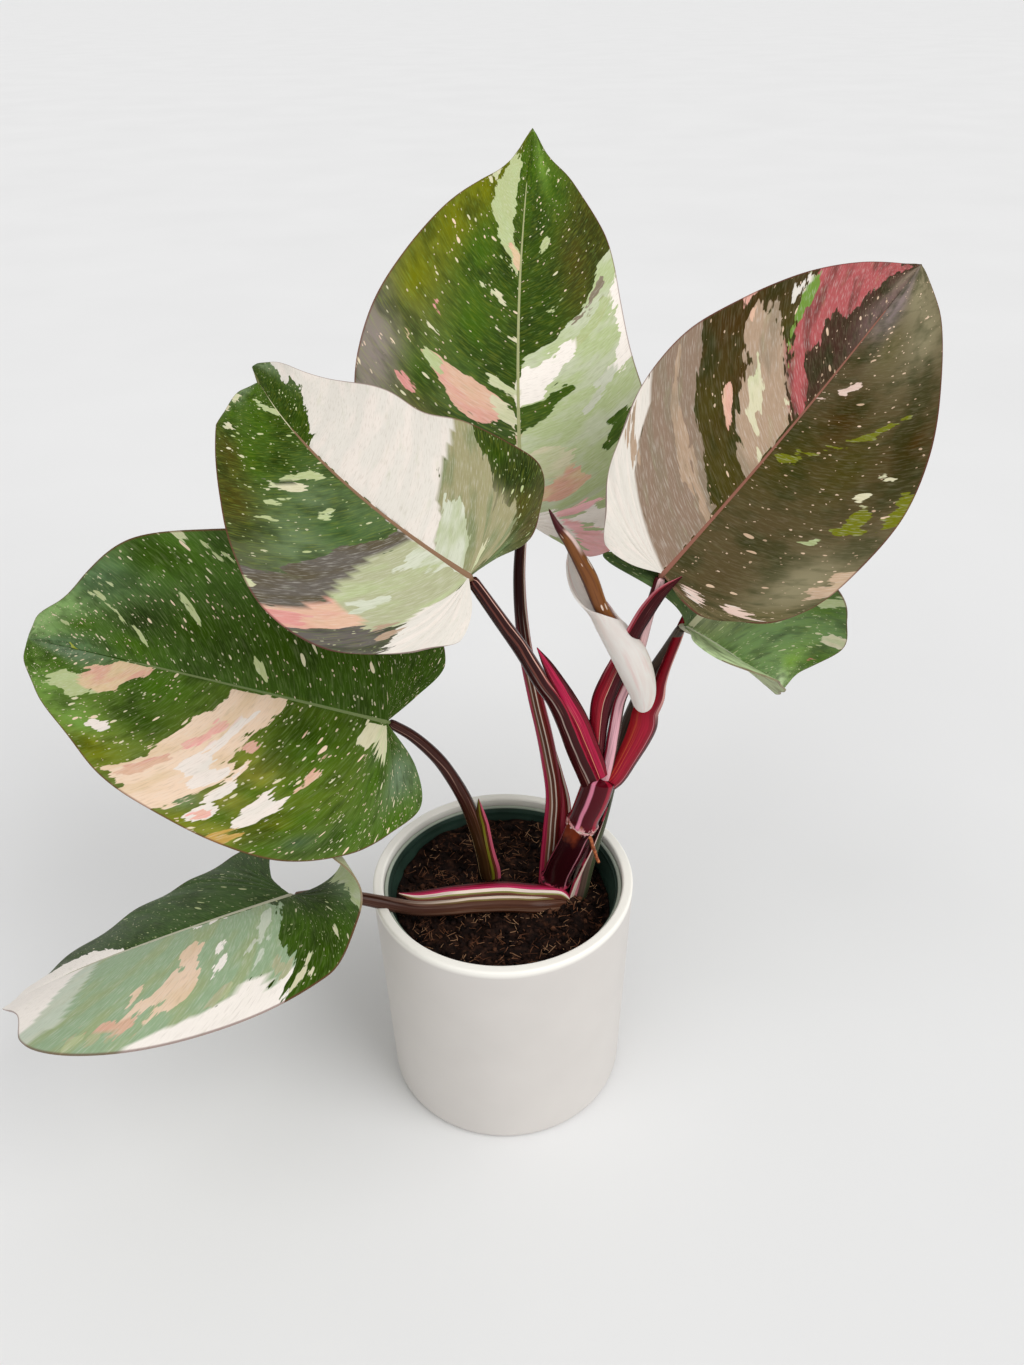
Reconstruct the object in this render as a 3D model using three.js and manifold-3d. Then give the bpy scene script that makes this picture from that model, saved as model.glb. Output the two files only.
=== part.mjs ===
// A potted red medusa philodendron: a climbing aroid with six large heart-shaped leaves and one still rolled
// up, in a thin nursery pot that stands inside a plain white cover pot.
// Millimetres, +Z up. The origin is the centre of the cover pot's flat base, and -Y is the front.
import * as THREE from "three";
import { mergeVertices } from "three/addons/utils/BufferGeometryUtils.js";
import Module from "manifold-3d";

const wasm = await Module();
wasm.setup();

// Driving dimensions
const POT_HEIGHT = 136.5;
const POT_RIM_RADIUS = 70;
const POT_FOOT_RADIUS = 66.5;
const POT_WALL = 4.6;
const POT_FLOOR = 6;
const NURSERY_HEIGHT = 126;
const NURSERY_RIM_RADIUS = 63.2;
const NURSERY_FOOT_RADIUS = 52;
const NURSERY_WALL = 1.3;
const NURSERY_LIP = 2.0;
const SOIL_LEVEL = 124;
const BLADE_THICKNESS = 0.8;
const SHEATH_THICKNESS = 1.0;
const FIT_GAP = 0.3;

// How finely the round and grown shapes are split
const POT_SIDES = 36;
const BLADE_VEINS = 15;
const BLADE_ROWS = 3;

const COLOURS = {
  pot: 0xe9e7e2,
  nursery: 0x6f8f74,
  soil: 0x2b1c14,
  stem: 0x7a1226,
  petiole: 0x8c3038,
  blade: 0x3f6b2c,
  rolled: 0xd9cfc0,
  root: 0x8a4a20,
};

const rad = THREE.MathUtils.degToRad;
const point = (p) => new THREE.Vector3(p[0], p[1], p[2]);

// Materials
function matt(colour) {
  return new THREE.MeshStandardMaterial({ color: colour, roughness: 0.75, metalness: 0 });
}

function waxy(colour) {
  return new THREE.MeshStandardMaterial({ color: colour, roughness: 0.4, metalness: 0 });
}

// Triangles to geometry, with vertices that lie together merged and flat triangles dropped
function geometryFrom(points, triangles) {
  const flat = new THREE.BufferGeometry();
  flat.setAttribute("position", new THREE.Float32BufferAttribute(points.flatMap((p) => p.toArray()), 3));
  flat.setIndex(triangles.flat());
  const merged = mergeVertices(flat, 1e-3);
  const index = [...merged.index.array];
  const kept = [];
  for (let i = 0; i < index.length; i += 3) {
    const [a, b, c] = index.slice(i, i + 3);
    if (a !== b && b !== c && a !== c) kept.push(a, b, c);
  }
  merged.setIndex(kept);
  return merged;
}

// A thin solid of even thickness from an open surface: the surface moved half the thickness each way along
// its normals, with walls along its free edges.
function thicken(surface, thickness) {
  surface.computeVertexNormals();
  const place = surface.attributes.position;
  const normal = surface.attributes.normal;
  const index = surface.index.array;
  const count = place.count;
  const points = [];
  for (const side of [0.5, -0.5]) {
    for (let i = 0; i < count; i++) {
      const p = new THREE.Vector3().fromBufferAttribute(place, i);
      const n = new THREE.Vector3().fromBufferAttribute(normal, i);
      points.push(p.addScaledVector(n, side * thickness));
    }
  }
  const triangles = [];
  const edges = new Map();
  for (let i = 0; i < index.length; i += 3) {
    const [a, b, c] = [index[i], index[i + 1], index[i + 2]];
    triangles.push([a, b, c], [c + count, b + count, a + count]);
    for (const [p, q] of [[a, b], [b, c], [c, a]]) edges.set(`${p} ${q}`, [p, q]);
  }
  for (const [p, q] of edges.values()) {
    if (edges.has(`${q} ${p}`)) continue;
    triangles.push([q, p, p + count], [q, p + count, q + count]);
  }
  return geometryFrom(points, triangles);
}

// Solids for cutting and joining
function solidOf(geometry) {
  const bare = new THREE.BufferGeometry();
  bare.setAttribute("position", geometry.attributes.position.clone());
  if (geometry.index) bare.setIndex(geometry.index.clone());
  const merged = mergeVertices(bare, 1e-3);
  return new wasm.Manifold(
    new wasm.Mesh({
      numProp: 3,
      vertProperties: new Float32Array(merged.attributes.position.array),
      triVerts: new Uint32Array(merged.index.array),
    }),
  );
}

function geometryOf(solid) {
  const mesh = solid.getMesh();
  const geometry = new THREE.BufferGeometry();
  geometry.setAttribute("position", new THREE.BufferAttribute(mesh.vertProperties, mesh.numProp));
  geometry.setIndex(new THREE.BufferAttribute(mesh.triVerts, 1));
  return geometry;
}

// A rounded stalk: rings of points across a smooth route, closed at both ends. section(s, angle) is the
// radius at the part s of the way along, at an angle from the stalk's upper face.
function stalk(route, steps, sides, section, upward) {
  const curve = new THREE.CatmullRomCurve3(route.map(point), false, "centripetal");
  const rings = [];
  for (let i = 0; i <= steps; i++) {
    const s = i / steps;
    const centre = curve.getPointAt(s);
    const along = curve.getTangentAt(s);
    const face = point(upward).addScaledVector(along, -along.dot(point(upward))).normalize();
    const across = new THREE.Vector3().crossVectors(along, face);
    rings.push({ s, centre, face, across });
  }
  const points = [];
  for (const { s, centre, face, across } of rings) {
    for (let k = 0; k < sides; k++) {
      const angle = (k / sides) * 2 * Math.PI;
      const r = section(s, angle);
      points.push(
        centre.clone()
          .addScaledVector(face, r * Math.cos(angle))
          .addScaledVector(across, r * Math.sin(angle)),
      );
    }
  }
  const foot = points.push(rings[0].centre) - 1;
  const head = points.push(rings[steps].centre) - 1;
  const triangles = [];
  for (let k = 0; k < sides; k++) {
    const next = (k + 1) % sides;
    for (let i = 0; i < steps; i++) {
      const [a, b] = [i * sides + k, i * sides + next];
      triangles.push([a, b, b + sides], [a, b + sides, a + sides]);
    }
    triangles.push([foot, next, k], [head, steps * sides + k, steps * sides + next]);
  }
  return geometryFrom(points, triangles);
}

const smooth = (a, b, x) => THREE.MathUtils.smoothstep(x, a, b);

// The leaves. Each blade hangs on its base, the notch where the stalk joins. azimuth, rise and roll set its
// rib at the base, in degrees, and bend, sweep and twist are how far the rib curves down, sideways and about
// itself by the tip. fold raises each half from the rib and curl turns it on over 100 mm, left half first.
// left and right are the margin's distances from a point on the rib, in parts of the blade's length, at
// MARGIN_ANGLES from the tip round to the notch.
const MARGIN_ANGLES = [0, 5, 12, 24, 42, 64, 88, 110, 128, 143, 155, 166];
const MARGIN_CENTRE = 0.28;
const FAN_SHARE = 0.37;
const VEIN_BOW = 0.09;
const LOBE_REACH = 0.2;

const LEAVES = {
  back: {
    base: [13.4, 60.7, 316.8], length: 204.7,
    azimuth: 95.3, rise: 57.5, roll: 13.5, bend: 7.1, sweep: -12.9, twist: -5.8, lobeRise: -1.7,
    fold: [4.5, -1.8], curl: [-7.7, -11.1],
    left: [0.72, 0.61, 0.56, 0.50, 0.44, 0.41, 0.40, 0.39, 0.39, 0.39, 0.39, 0.36],
    right: [0.72, 0.65, 0.61, 0.53, 0.41, 0.35, 0.36, 0.38, 0.41, 0.43, 0.41, 0.34],
  },
  front: {
    base: [-11.2, -21.6, 328.4], length: 172,
    azimuth: 158.7, rise: 26.8, roll: -40.5, bend: 39.1, sweep: -30, twist: -4.8, lobeRise: -2.3,
    fold: [15.9, -3.9], curl: [-6.6, -5.8],
    left: [0.72, 0.69, 0.61, 0.48, 0.40, 0.37, 0.39, 0.40, 0.38, 0.38, 0.39, 0.35],
    right: [0.72, 0.68, 0.57, 0.47, 0.39, 0.32, 0.34, 0.39, 0.45, 0.42, 0.39, 0.32],
  },
  left: {
    base: [-54.6, -5.2, 241.7], length: 204.3,
    azimuth: 182.1, rise: 19.3, roll: -55.1, bend: 46.5, sweep: 0.8, twist: 0, lobeRise: 0,
    fold: [21, 26.1], curl: [-1.8, -1.5],
    left: [0.72, 0.68, 0.60, 0.49, 0.42, 0.37, 0.37, 0.40, 0.42, 0.43, 0.44, 0.38],
    right: [0.72, 0.67, 0.58, 0.51, 0.46, 0.40, 0.39, 0.39, 0.41, 0.42, 0.41, 0.34],
  },
  low: {
    base: [-107.1, -32.6, 154.5], length: 193,
    azimuth: 204.7, rise: 0.6, roll: -12.7, bend: 60, sweep: -35, twist: 8.4, lobeRise: 94,
    fold: [38, -25.4], curl: [-39.8, -13.2],
    left: [0.72, 0.60, 0.50, 0.42, 0.42, 0.42, 0.43, 0.46, 0.47, 0.48, 0.54, 0.60],
    right: [0.72, 0.63, 0.58, 0.48, 0.40, 0.34, 0.33, 0.41, 0.47, 0.33, 0.28, 0.27],
  },
  right: {
    base: [76.2, 4, 314.8], length: 192.6,
    azimuth: 33.1, rise: 35.2, roll: 43.2, bend: 2, sweep: 4.7, twist: 0, lobeRise: 0,
    fold: [15.7, 14.3], curl: [-3.4, -4.5],
    left: [0.72, 0.67, 0.62, 0.53, 0.44, 0.38, 0.34, 0.32, 0.33, 0.34, 0.36, 0.33],
    right: [0.72, 0.68, 0.62, 0.53, 0.44, 0.38, 0.34, 0.34, 0.34, 0.33, 0.33, 0.31],
  },
  far: {
    base: [91.1, 18.7, 278.0], length: 192.9,
    azimuth: 64.6, rise: -33.9, roll: 86.8, bend: -16.0, sweep: -9.7, twist: 18.5, lobeRise: -53.5,
    fold: [26.3, 66.0], curl: [59.9, 10.8],
    left: [0.74, 0.68, 0.67, 0.64, 0.50, 0.40, 0.36, 0.35, 0.35, 0.38, 0.44, 0.70],
    right: [0.73, 0.51, 0.39, 0.33, 0.28, 0.24, 0.24, 0.28, 0.35, 0.43, 0.47, 0.42],
  },
};

// A leaf's rib is an even helix, so its place and axes at any share of its length follow in closed form.
function ribFrame(leaf, share) {
  const [azimuth, rise, roll] = [rad(leaf.azimuth), rad(leaf.rise), rad(leaf.roll)];
  const along = new THREE.Vector3(
    Math.cos(azimuth) * Math.cos(rise),
    Math.sin(azimuth) * Math.cos(rise),
    Math.sin(rise),
  );
  const level = new THREE.Vector3(Math.sin(azimuth), -Math.cos(azimuth), 0);
  const raised = new THREE.Vector3().crossVectors(level, along);
  const face = raised.clone().multiplyScalar(Math.cos(roll)).addScaledVector(level, Math.sin(roll));
  const side = new THREE.Vector3().crossVectors(along, face);
  const start = new THREE.Matrix4().makeBasis(along, face, side);
  const turning = new THREE.Vector3(rad(leaf.twist), rad(leaf.sweep), -rad(leaf.bend));
  const rate = turning.length();
  const axis = turning.normalize();
  const straight = new THREE.Vector3(1, 0, 0);
  const once = new THREE.Vector3().crossVectors(axis, straight);
  const twice = new THREE.Vector3().crossVectors(axis, once);
  const centre = straight.multiplyScalar(share)
    .addScaledVector(once, (1 - Math.cos(rate * share)) / rate)
    .addScaledVector(twice, share - Math.sin(rate * share) / rate)
    .multiplyScalar(leaf.length)
    .applyMatrix4(start)
    .add(point(leaf.base));
  const axes = start.multiply(new THREE.Matrix4().makeRotationAxis(axis, rate * share));
  const [t, n, s] = [new THREE.Vector3(), new THREE.Vector3(), new THREE.Vector3()];
  axes.extractBasis(t, n, s);
  return { centre, along: t, face: n, side: s };
}

// Where a point of the flat blade lies in space: x along the rib from the base and y out from it, on the
// left half (0) or the right half (1).
function bladePoint(leaf, x, y, half) {
  const share = THREE.MathUtils.clamp(x / leaf.length, 0, 1);
  const { centre, along, face, side } = ribFrame(leaf, share);
  const back = Math.min(x, 0);
  const lobeRate = -rad(leaf.lobeRise) / (LOBE_REACH * leaf.length);
  if (Math.abs(lobeRate) > 1e-6) {
    centre.addScaledVector(along, Math.sin(lobeRate * back) / lobeRate);
    centre.addScaledVector(face, -(1 - Math.cos(lobeRate * back)) / lobeRate);
  } else {
    centre.addScaledVector(along, back);
  }
  const fold = rad(leaf.fold[half]);
  const curl = rad(leaf.curl[half]) / 100;
  const out = (Math.sin(fold + curl * y) - Math.sin(fold)) / curl;
  const up = (Math.cos(fold) - Math.cos(fold + curl * y)) / curl;
  return centre.addScaledVector(side, (half === 0 ? -1 : 1) * out).addScaledVector(face, up);
}

// The margin of one half as a smooth flat curve from the base round the lobe to the tip
function margin(leaf, half) {
  const reach = half === 0 ? leaf.left : leaf.right;
  const points = MARGIN_ANGLES.map((angle, i) => {
    const r = reach[i] * leaf.length;
    const a = rad(angle);
    return new THREE.Vector3(MARGIN_CENTRE * leaf.length + r * Math.cos(a), r * Math.sin(a), 0);
  });
  points[0].set(leaf.length, 0, 0);
  points.push(new THREE.Vector3());
  points.reverse();
  const rearmost = points.reduce((best, p, i) => (p.x < points[best].x ? i : best), 1);
  const curve = new THREE.CatmullRomCurve3(points, false, "centripetal");
  return { at: (u) => curve.getPoint(u), lobe: rearmost / (points.length - 1) };
}

// A half's flat point at vein t, from the notch (0) to the tip (1), and at share r of the way from the rib
// to the margin. The first vein runs along the notch, the next ones fan from the base, and the rest leave
// the rib one after another and bow towards the tip.
function veinPoint(leaf, edge, t, r) {
  const start = new THREE.Vector3(leaf.length * Math.max(0, (t - FAN_SHARE) / (1 - FAN_SHARE)), 0, 0);
  const end = edge.at(edge.lobe + (1 - edge.lobe) * t);
  const chord = end.clone().sub(start);
  const flat = start.clone().addScaledVector(chord, r);
  const bow = VEIN_BOW * 4 * r * (1 - r) * smooth(0, 0.25, t);
  flat.add(new THREE.Vector3(-chord.y, chord.x, 0).multiplyScalar(bow));
  const notch = edge.at(edge.lobe * r).sub(edge.at(edge.lobe).multiplyScalar(r));
  return flat.addScaledVector(notch, Math.max(0, 1 - t / 0.3) ** 2);
}

function bladeSurface(leaf) {
  const points = [];
  const triangles = [];
  for (const half of [0, 1]) {
    const edge = margin(leaf, half);
    const first = points.length;
    for (let i = 0; i <= BLADE_VEINS; i++) {
      for (let j = 0; j <= BLADE_ROWS; j++) {
        const flat = veinPoint(leaf, edge, i / BLADE_VEINS, j / BLADE_ROWS);
        points.push(bladePoint(leaf, flat.x, Math.max(flat.y, 0), half));
      }
    }
    const row = BLADE_ROWS + 1;
    for (let i = 0; i < BLADE_VEINS; i++) {
      for (let j = 0; j < BLADE_ROWS; j++) {
        const a = first + i * row + j;
        const quad = [[a, a + row + 1, a + 1], [a, a + row, a + row + 1]];
        for (const [p, q, s] of quad) triangles.push(half === 0 ? [p, q, s] : [p, s, q]);
      }
    }
  }
  return geometryFrom(points, triangles);
}

// The rib under the blade: a tapering cord that starts just behind the base, where the stalk meets it
const RIB_RADIUS = 2.4;
const RIB_TIP_RADIUS = 0.7;
const RIB_BACK = 3;
const RIB_SINK = 1.4;
const RIB_SHARE = 0.86;

function ribSolid(leaf, grow) {
  const route = [];
  for (const share of [0, 0.05, 0.2, 0.4, 0.6, RIB_SHARE]) {
    const { centre, along, face } = ribFrame(leaf, share);
    if (share === 0) {
      route.push(centre.clone().addScaledVector(along, -RIB_BACK).addScaledVector(face, -RIB_SINK).toArray());
    }
    const sink = THREE.MathUtils.lerp(RIB_SINK, 0.4, share / RIB_SHARE);
    route.push(centre.addScaledVector(face, -sink).toArray());
  }
  const { face } = ribFrame(leaf, 0.4);
  const taper = (s) => THREE.MathUtils.lerp(RIB_RADIUS, RIB_TIP_RADIUS, Math.sqrt(s)) + grow;
  return solidOf(stalk(route, 8, 6, taper, face.toArray()));
}

function blade(name, grow = 0) {
  const leaf = LEAVES[name];
  return solidOf(thicken(bladeSurface(leaf), BLADE_THICKNESS + 2 * grow)).add(ribSolid(leaf, grow));
}

// An open channel that clasps a stalk: an arc of surface about a route, widest at the foot. turn is half the
// angle that the channel covers, in degrees, at foot, middle and tip, and inner is the side that it opens to.
function channel({ route, radius, turn, inner }, grow = 0, steps = 7, arcs = 5) {
  const curve = new THREE.CatmullRomCurve3(route.map(point), false, "centripetal");
  const points = [];
  const triangles = [];
  for (let i = 0; i <= steps; i++) {
    const s = i / steps;
    const along = curve.getTangentAt(s);
    const centre = curve.getPointAt(s);
    if (i === 0) centre.addScaledVector(along, -grow);
    if (i === steps) centre.addScaledVector(along, grow);
    const face = point(inner).addScaledVector(along, -along.dot(point(inner))).normalize();
    const across = new THREE.Vector3().crossVectors(along, face);
    const r = along3(radius, s);
    const half = rad(along3(turn, s)) + grow / r;
    for (let k = 0; k <= arcs; k++) {
      const angle = half * ((2 * k) / arcs - 1);
      points.push(
        centre.clone()
          .addScaledVector(face, -r * Math.cos(angle))
          .addScaledVector(across, r * Math.sin(angle)),
      );
    }
  }
  for (let i = 0; i < steps; i++) {
    for (let k = 0; k < arcs; k++) {
      const a = i * (arcs + 1) + k;
      triangles.push([a, a + 1, a + arcs + 2], [a, a + arcs + 2, a + arcs + 1]);
    }
  }
  return solidOf(thicken(geometryFrom(points, triangles), SHEATH_THICKNESS + 2 * grow));
}

// A value that passes smoothly through its three given sizes at the foot, the middle and the tip
function along3([foot, middle, tip], s) {
  return foot * (1 - s) * (1 - 2 * s) + middle * 4 * s * (1 - s) + tip * s * (2 * s - 1);
}

// The climbing stem, with a ring at each node where a leaf has grown
const STEM_ROUTE = [
  [19, 7, 98], [26.5, 4.5, 119], [31, 3.5, 137], [37.5, 3, 154], [43.8, 4, 173], [48.3, 5, 186],
  [51.3, 6.4, 197],
];
const STEM_RADIUS = 7.6;
const STEM_NODES = [0.31, 0.71];

function stem(grow = 0) {
  const section = (s) => {
    const ring = STEM_NODES.reduce((sum, at) => sum + 1.1 * Math.exp(-(((s - at) / 0.035) ** 2)), 0);
    const foot = THREE.MathUtils.lerp(0.6, 1, smooth(0, 0.2, s));
    return STEM_RADIUS * foot + ring + grow;
  };
  return solidOf(stalk(STEM_ROUTE, 18, 12, section, [0, -1, 0]));
}

// The leaf stalks. Each route runs from the stem to the blade, radius is at foot, middle and head, and
// inner is the side that faces the stem.
const STALKS = {
  back: {
    route: [
      [23, 9, 114], [23.3, 12, 130], [24.4, 15.5, 150], [26, 20, 171], [20.5, 28.2, 221],
      [13.2, 44, 257], [11.2, 53, 287],
    ],
    radius: [4.6, 3.8, 2.7],
    inner: [0.7, -0.7, 0.1],
    sheath: {
      route: [[29, 5, 120], [30.5, 7, 138], [29, 14, 160], [26, 20.5, 182], [21.5, 27, 214]],
      radius: [9.6, 6.2, 3.2], turn: [128, 95, 45],
    },
  },
  front: {
    route: [
      [48.5, 6, 190], [44.5, 6, 200], [38.4, 6.3, 218.8], [33, 3.4, 236.3], [25.3, -1.3, 255],
      [12, -8.7, 282], [0.5, -17, 306],
    ],
    radius: [5.4, 4.2, 2.7],
    inner: [0.8, 0, 0.6],
    sheath: {
      route: [[47, 6.2, 199], [42, 6.3, 215], [36, 4.5, 234], [28, 0, 254]],
      radius: [6.6, 5.4, 3.2], turn: [120, 80, 35],
    },
  },
  left: {
    route: [
      [14, 11, 104], [-3, 13.5, 110], [-8.6, 14, 120], [-11.3, 13, 142.6], [-17.6, 8.4, 176],
      [-28.4, 5.9, 203.4], [-41.9, 0.3, 227.8],
    ],
    radius: [3.6, 3.9, 2.4],
    inner: [0.9, -0.3, 0.2],
    sheath: {
      route: [[-7.2, 14, 116], [-9.4, 12.5, 142], [-11.5, 9.5, 165], [-12.8, 7, 183]],
      radius: [5.2, 4.2, 2.2], turn: [85, 70, 18],
    },
  },
  low: {
    route: [
      [30, -2, 116], [21, -4.5, 121.5], [9, -5.1, 124], [-12.5, -9.5, 126.4], [-33.6, -14.2, 131],
      [-54.3, -18.6, 137.2], [-72.9, -22, 143.6], [-91.3, -26.6, 149.6],
    ],
    radius: [5.4, 3.9, 2.5],
    inner: [0, 0.1, 1],
    sheath: {
      route: [[29, -1.5, 121], [14, -5, 125], [-10, -9, 127.4], [-36, -14.4, 132]],
      radius: [7.6, 6, 3.2], turn: [105, 80, 30],
    },
  },
  right: {
    route: [
      [51.8, 7, 190], [54.4, 8, 206.5], [57.6, 10, 219], [61, 9.6, 242.3], [67.9, 5.6, 274.7],
      [72.3, 4.3, 294.9],
    ],
    radius: [4.4, 3.3, 2.4],
    inner: [0.5, 0.85, 0],
    sheath: {
      route: [[53, 8, 200], [55.5, 9, 219], [60, 8, 243], [67, 5, 274], [74.5, 0.5, 304]],
      radius: [7, 6, 2.6], turn: [115, 88, 12],
    },
  },
  far: {
    route: [
      [40, 3, 112], [42.3, 3.4, 124], [46.5, 8.5, 141], [53, 19, 158], [59.4, 24, 187.7],
      [64.5, 23.5, 212.8], [74, 23.4, 242.8], [84.2, 23.4, 263.6],
    ],
    radius: [5, 3.8, 2.4],
    inner: [-0.7, -0.6, 0.2],
    sheath: {
      route: [[30.5, 4.5, 121], [34.5, 4.2, 138], [43, 9, 155], [51, 17, 170], [57, 22.5, 186]],
      radius: [9.8, 7.6, 3.4], turn: [105, 85, 40],
    },
  },
};

function petiole(name, grow = 0) {
  const { route, radius, inner, sheath } = STALKS[name];
  const { centre, along, face } = ribFrame(LEAVES[name], 0);
  const head = centre.addScaledVector(along, -RIB_BACK - FIT_GAP + grow).addScaledVector(face, -RIB_SINK);
  const section = (s) => along3(radius, s) + grow;
  const cane = solidOf(stalk([...route, head.toArray()], 15, 8, section, inner));
  return cane.add(channel({ ...sheath, inner }, grow));
}

// The newest leaf, still rolled: a pointed inner roll and the pale half that is wrapped round its foot
const ROLL_ROUTE = [
  [57.5, 12, 207], [66, 13, 224], [68.5, 12.8, 240.5], [60.4, 12.7, 263.6], [51.1, 14.3, 286.4],
  [43.1, 15.9, 303.5], [35.4, 17.3, 318.5], [28.9, 19.5, 331.3], [24.4, 21.8, 340.3],
];
const WRAP = {
  route: [
    [71.5, 8.8, 238], [66.4, 10.4, 254.3], [57.6, 11.2, 273.9], [48.7, 12.4, 291.8],
    [40.4, 13.6, 305.9], [34.5, 15.6, 319],
  ],
  radius: [3.4, 7.4, 4.2],
  turn: [60, 125, 35],
  inner: [0.5, 0.8, 0.35],
};

function rolledLeaf(grow = 0) {
  const section = (s) => {
    const belly = 3.6 + 2.3 * smooth(0.3, 0.7, s);
    return belly * (1 - smooth(0.72, 1, s)) + 0.5 + grow;
  };
  const roll = solidOf(stalk(ROLL_ROUTE, 15, 8, section, [0, -1, 0]));
  return roll.add(channel(WRAP, grow));
}

// The red sheath that held the rolled leaf, now split open down its inner side
const CATAPHYLL = {
  route: [
    [55, 8, 198], [63, 9, 208], [70, 10.5, 222], [74.5, 12.5, 237], [79, 15, 252], [84.5, 18.5, 268],
    [88.6, 20.6, 281],
  ],
  radius: [7.4, 6.4, 1.8],
  turn: [130, 105, 30],
  inner: [-0.6, 0.75, 0.3],
};

function cataphyll(grow = 0) {
  return channel(CATAPHYLL, grow, 9);
}

const ROOT_ROUTE = [[43, 0, 171], [45.9, -2.4, 164.7], [48, -4, 158.1], [51.2, -4.6, 147.7]];

function aerialRoot(grow = 0) {
  return solidOf(stalk(ROOT_ROUTE, 6, 6, (s) => 1.15 - 0.35 * s + grow, [1, 0, 0]));
}

// A round wall about the Z axis from a profile of [radius, height] points
function turned(profile) {
  const lathe = new THREE.LatheGeometry(profile.map(([r, z]) => new THREE.Vector2(r, z)), POT_SIDES);
  lathe.rotateX(Math.PI / 2);
  return solidOf(lathe);
}

// Points of a rounded corner: a quarter turn about a centre
function corner(r, z, size, from, steps = 3) {
  const points = [];
  for (let i = 0; i <= steps; i++) {
    const angle = rad(from + (90 * i) / steps);
    points.push([r + size * Math.cos(angle), z + size * Math.sin(angle)]);
  }
  return points;
}

// The cover pot: a smooth tapering cup with a rounded foot and lip
function coverPot() {
  const foot = 4.5;
  const lip = POT_WALL / 2;
  const inside = POT_FOOT_RADIUS - POT_WALL;
  return turned([
    [0, 0],
    ...corner(POT_FOOT_RADIUS - foot, foot, foot, -90),
    ...corner(POT_RIM_RADIUS - lip, POT_HEIGHT - lip, lip, 0),
    ...corner(POT_RIM_RADIUS - lip, POT_HEIGHT - lip, lip, 90).slice(1),
    [inside, POT_FLOOR + foot],
    [inside - foot, POT_FLOOR],
    [0, POT_FLOOR],
  ]);
}

// The nursery pot: a thin tapering cup with an outward lip and a ring of holes in its floor
const DRAIN_HOLES = 6;
const DRAIN_RADIUS = 5;
const DRAIN_CIRCLE = 34;
const NURSERY_BOTTOM = POT_FLOOR + FIT_GAP;
const NURSERY_TOP = NURSERY_BOTTOM + NURSERY_HEIGHT;

function nurseryRadius(z) {
  const share = (z - NURSERY_BOTTOM) / NURSERY_HEIGHT;
  return THREE.MathUtils.lerp(NURSERY_FOOT_RADIUS, NURSERY_RIM_RADIUS - NURSERY_LIP, share);
}

function nurseryPot() {
  const lipDepth = 3;
  const floor = NURSERY_BOTTOM + NURSERY_WALL;
  let pot = turned([
    [0, NURSERY_BOTTOM],
    [NURSERY_FOOT_RADIUS, NURSERY_BOTTOM],
    [nurseryRadius(NURSERY_TOP - lipDepth), NURSERY_TOP - lipDepth],
    [NURSERY_RIM_RADIUS + 1, NURSERY_TOP - lipDepth],
    [NURSERY_RIM_RADIUS + 1, NURSERY_TOP - 0.6],
    [NURSERY_RIM_RADIUS + 0.4, NURSERY_TOP],
    [nurseryRadius(NURSERY_TOP) - NURSERY_WALL, NURSERY_TOP],
    [nurseryRadius(floor) - NURSERY_WALL, floor],
    [0, floor],
  ]);
  for (let i = 0; i < DRAIN_HOLES; i++) {
    const angle = (i / DRAIN_HOLES) * 2 * Math.PI;
    const hole = new THREE.CylinderGeometry(DRAIN_RADIUS, DRAIN_RADIUS, 4 * NURSERY_WALL, 10);
    hole.rotateX(Math.PI / 2);
    hole.translate(DRAIN_CIRCLE * Math.cos(angle), DRAIN_CIRCLE * Math.sin(angle), floor);
    pot = pot.subtract(solidOf(hole));
  }
  return pot;
}

// The potting soil fills the nursery pot to an uneven top, lower along the right side
const SOIL_RINGS = 7;
const SOIL_SIDES = 30;
const LUMPS = [[0.21, 0.08, 0.4], [-0.1, 0.26, 2.1], [0.33, -0.19, 4.0], [0.12, 0.41, 5.2]];

function soilHeight(x, y) {
  const slope = 4 * smooth(0, 50, y) - 9 * smooth(34, 58, x) - 2 * smooth(25, 58, -x);
  const lumps = LUMPS.reduce((sum, [a, b, phase]) => sum + 0.45 * Math.sin(a * x + b * y + phase), 0);
  return SOIL_LEVEL - 2 + slope + lumps;
}

function soilBlock() {
  const bottom = NURSERY_BOTTOM + NURSERY_WALL + FIT_GAP;
  const reach = (z) => nurseryRadius(z) - NURSERY_WALL - FIT_GAP;
  const points = [new THREE.Vector3(0, 0, soilHeight(0, 0)), new THREE.Vector3(0, 0, bottom)];
  const triangles = [];
  const ring = (i) => 2 + i * SOIL_SIDES;
  for (let i = 1; i <= SOIL_RINGS + 1; i++) {
    for (let k = 0; k < SOIL_SIDES; k++) {
      const angle = (k / SOIL_SIDES) * 2 * Math.PI;
      const below = i > SOIL_RINGS;
      const share = Math.min(i / SOIL_RINGS, 1);
      const rough = reach(SOIL_LEVEL - 14) * share;
      const z = below ? bottom : soilHeight(rough * Math.cos(angle), rough * Math.sin(angle));
      const r = reach(below ? bottom : z) * share;
      points.push(new THREE.Vector3(r * Math.cos(angle), r * Math.sin(angle), z));
    }
  }
  for (let k = 0; k < SOIL_SIDES; k++) {
    const next = (k + 1) % SOIL_SIDES;
    triangles.push([0, ring(0) + k, ring(0) + next], [1, ring(SOIL_RINGS) + next, ring(SOIL_RINGS) + k]);
    for (let i = 0; i < SOIL_RINGS; i++) {
      const [a, b] = [ring(i) + k, ring(i) + next];
      triangles.push([a, a + SOIL_SIDES, b + SOIL_SIDES], [a, b + SOIL_SIDES, b]);
    }
  }
  return solidOf(geometryFrom(points, triangles));
}

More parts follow.
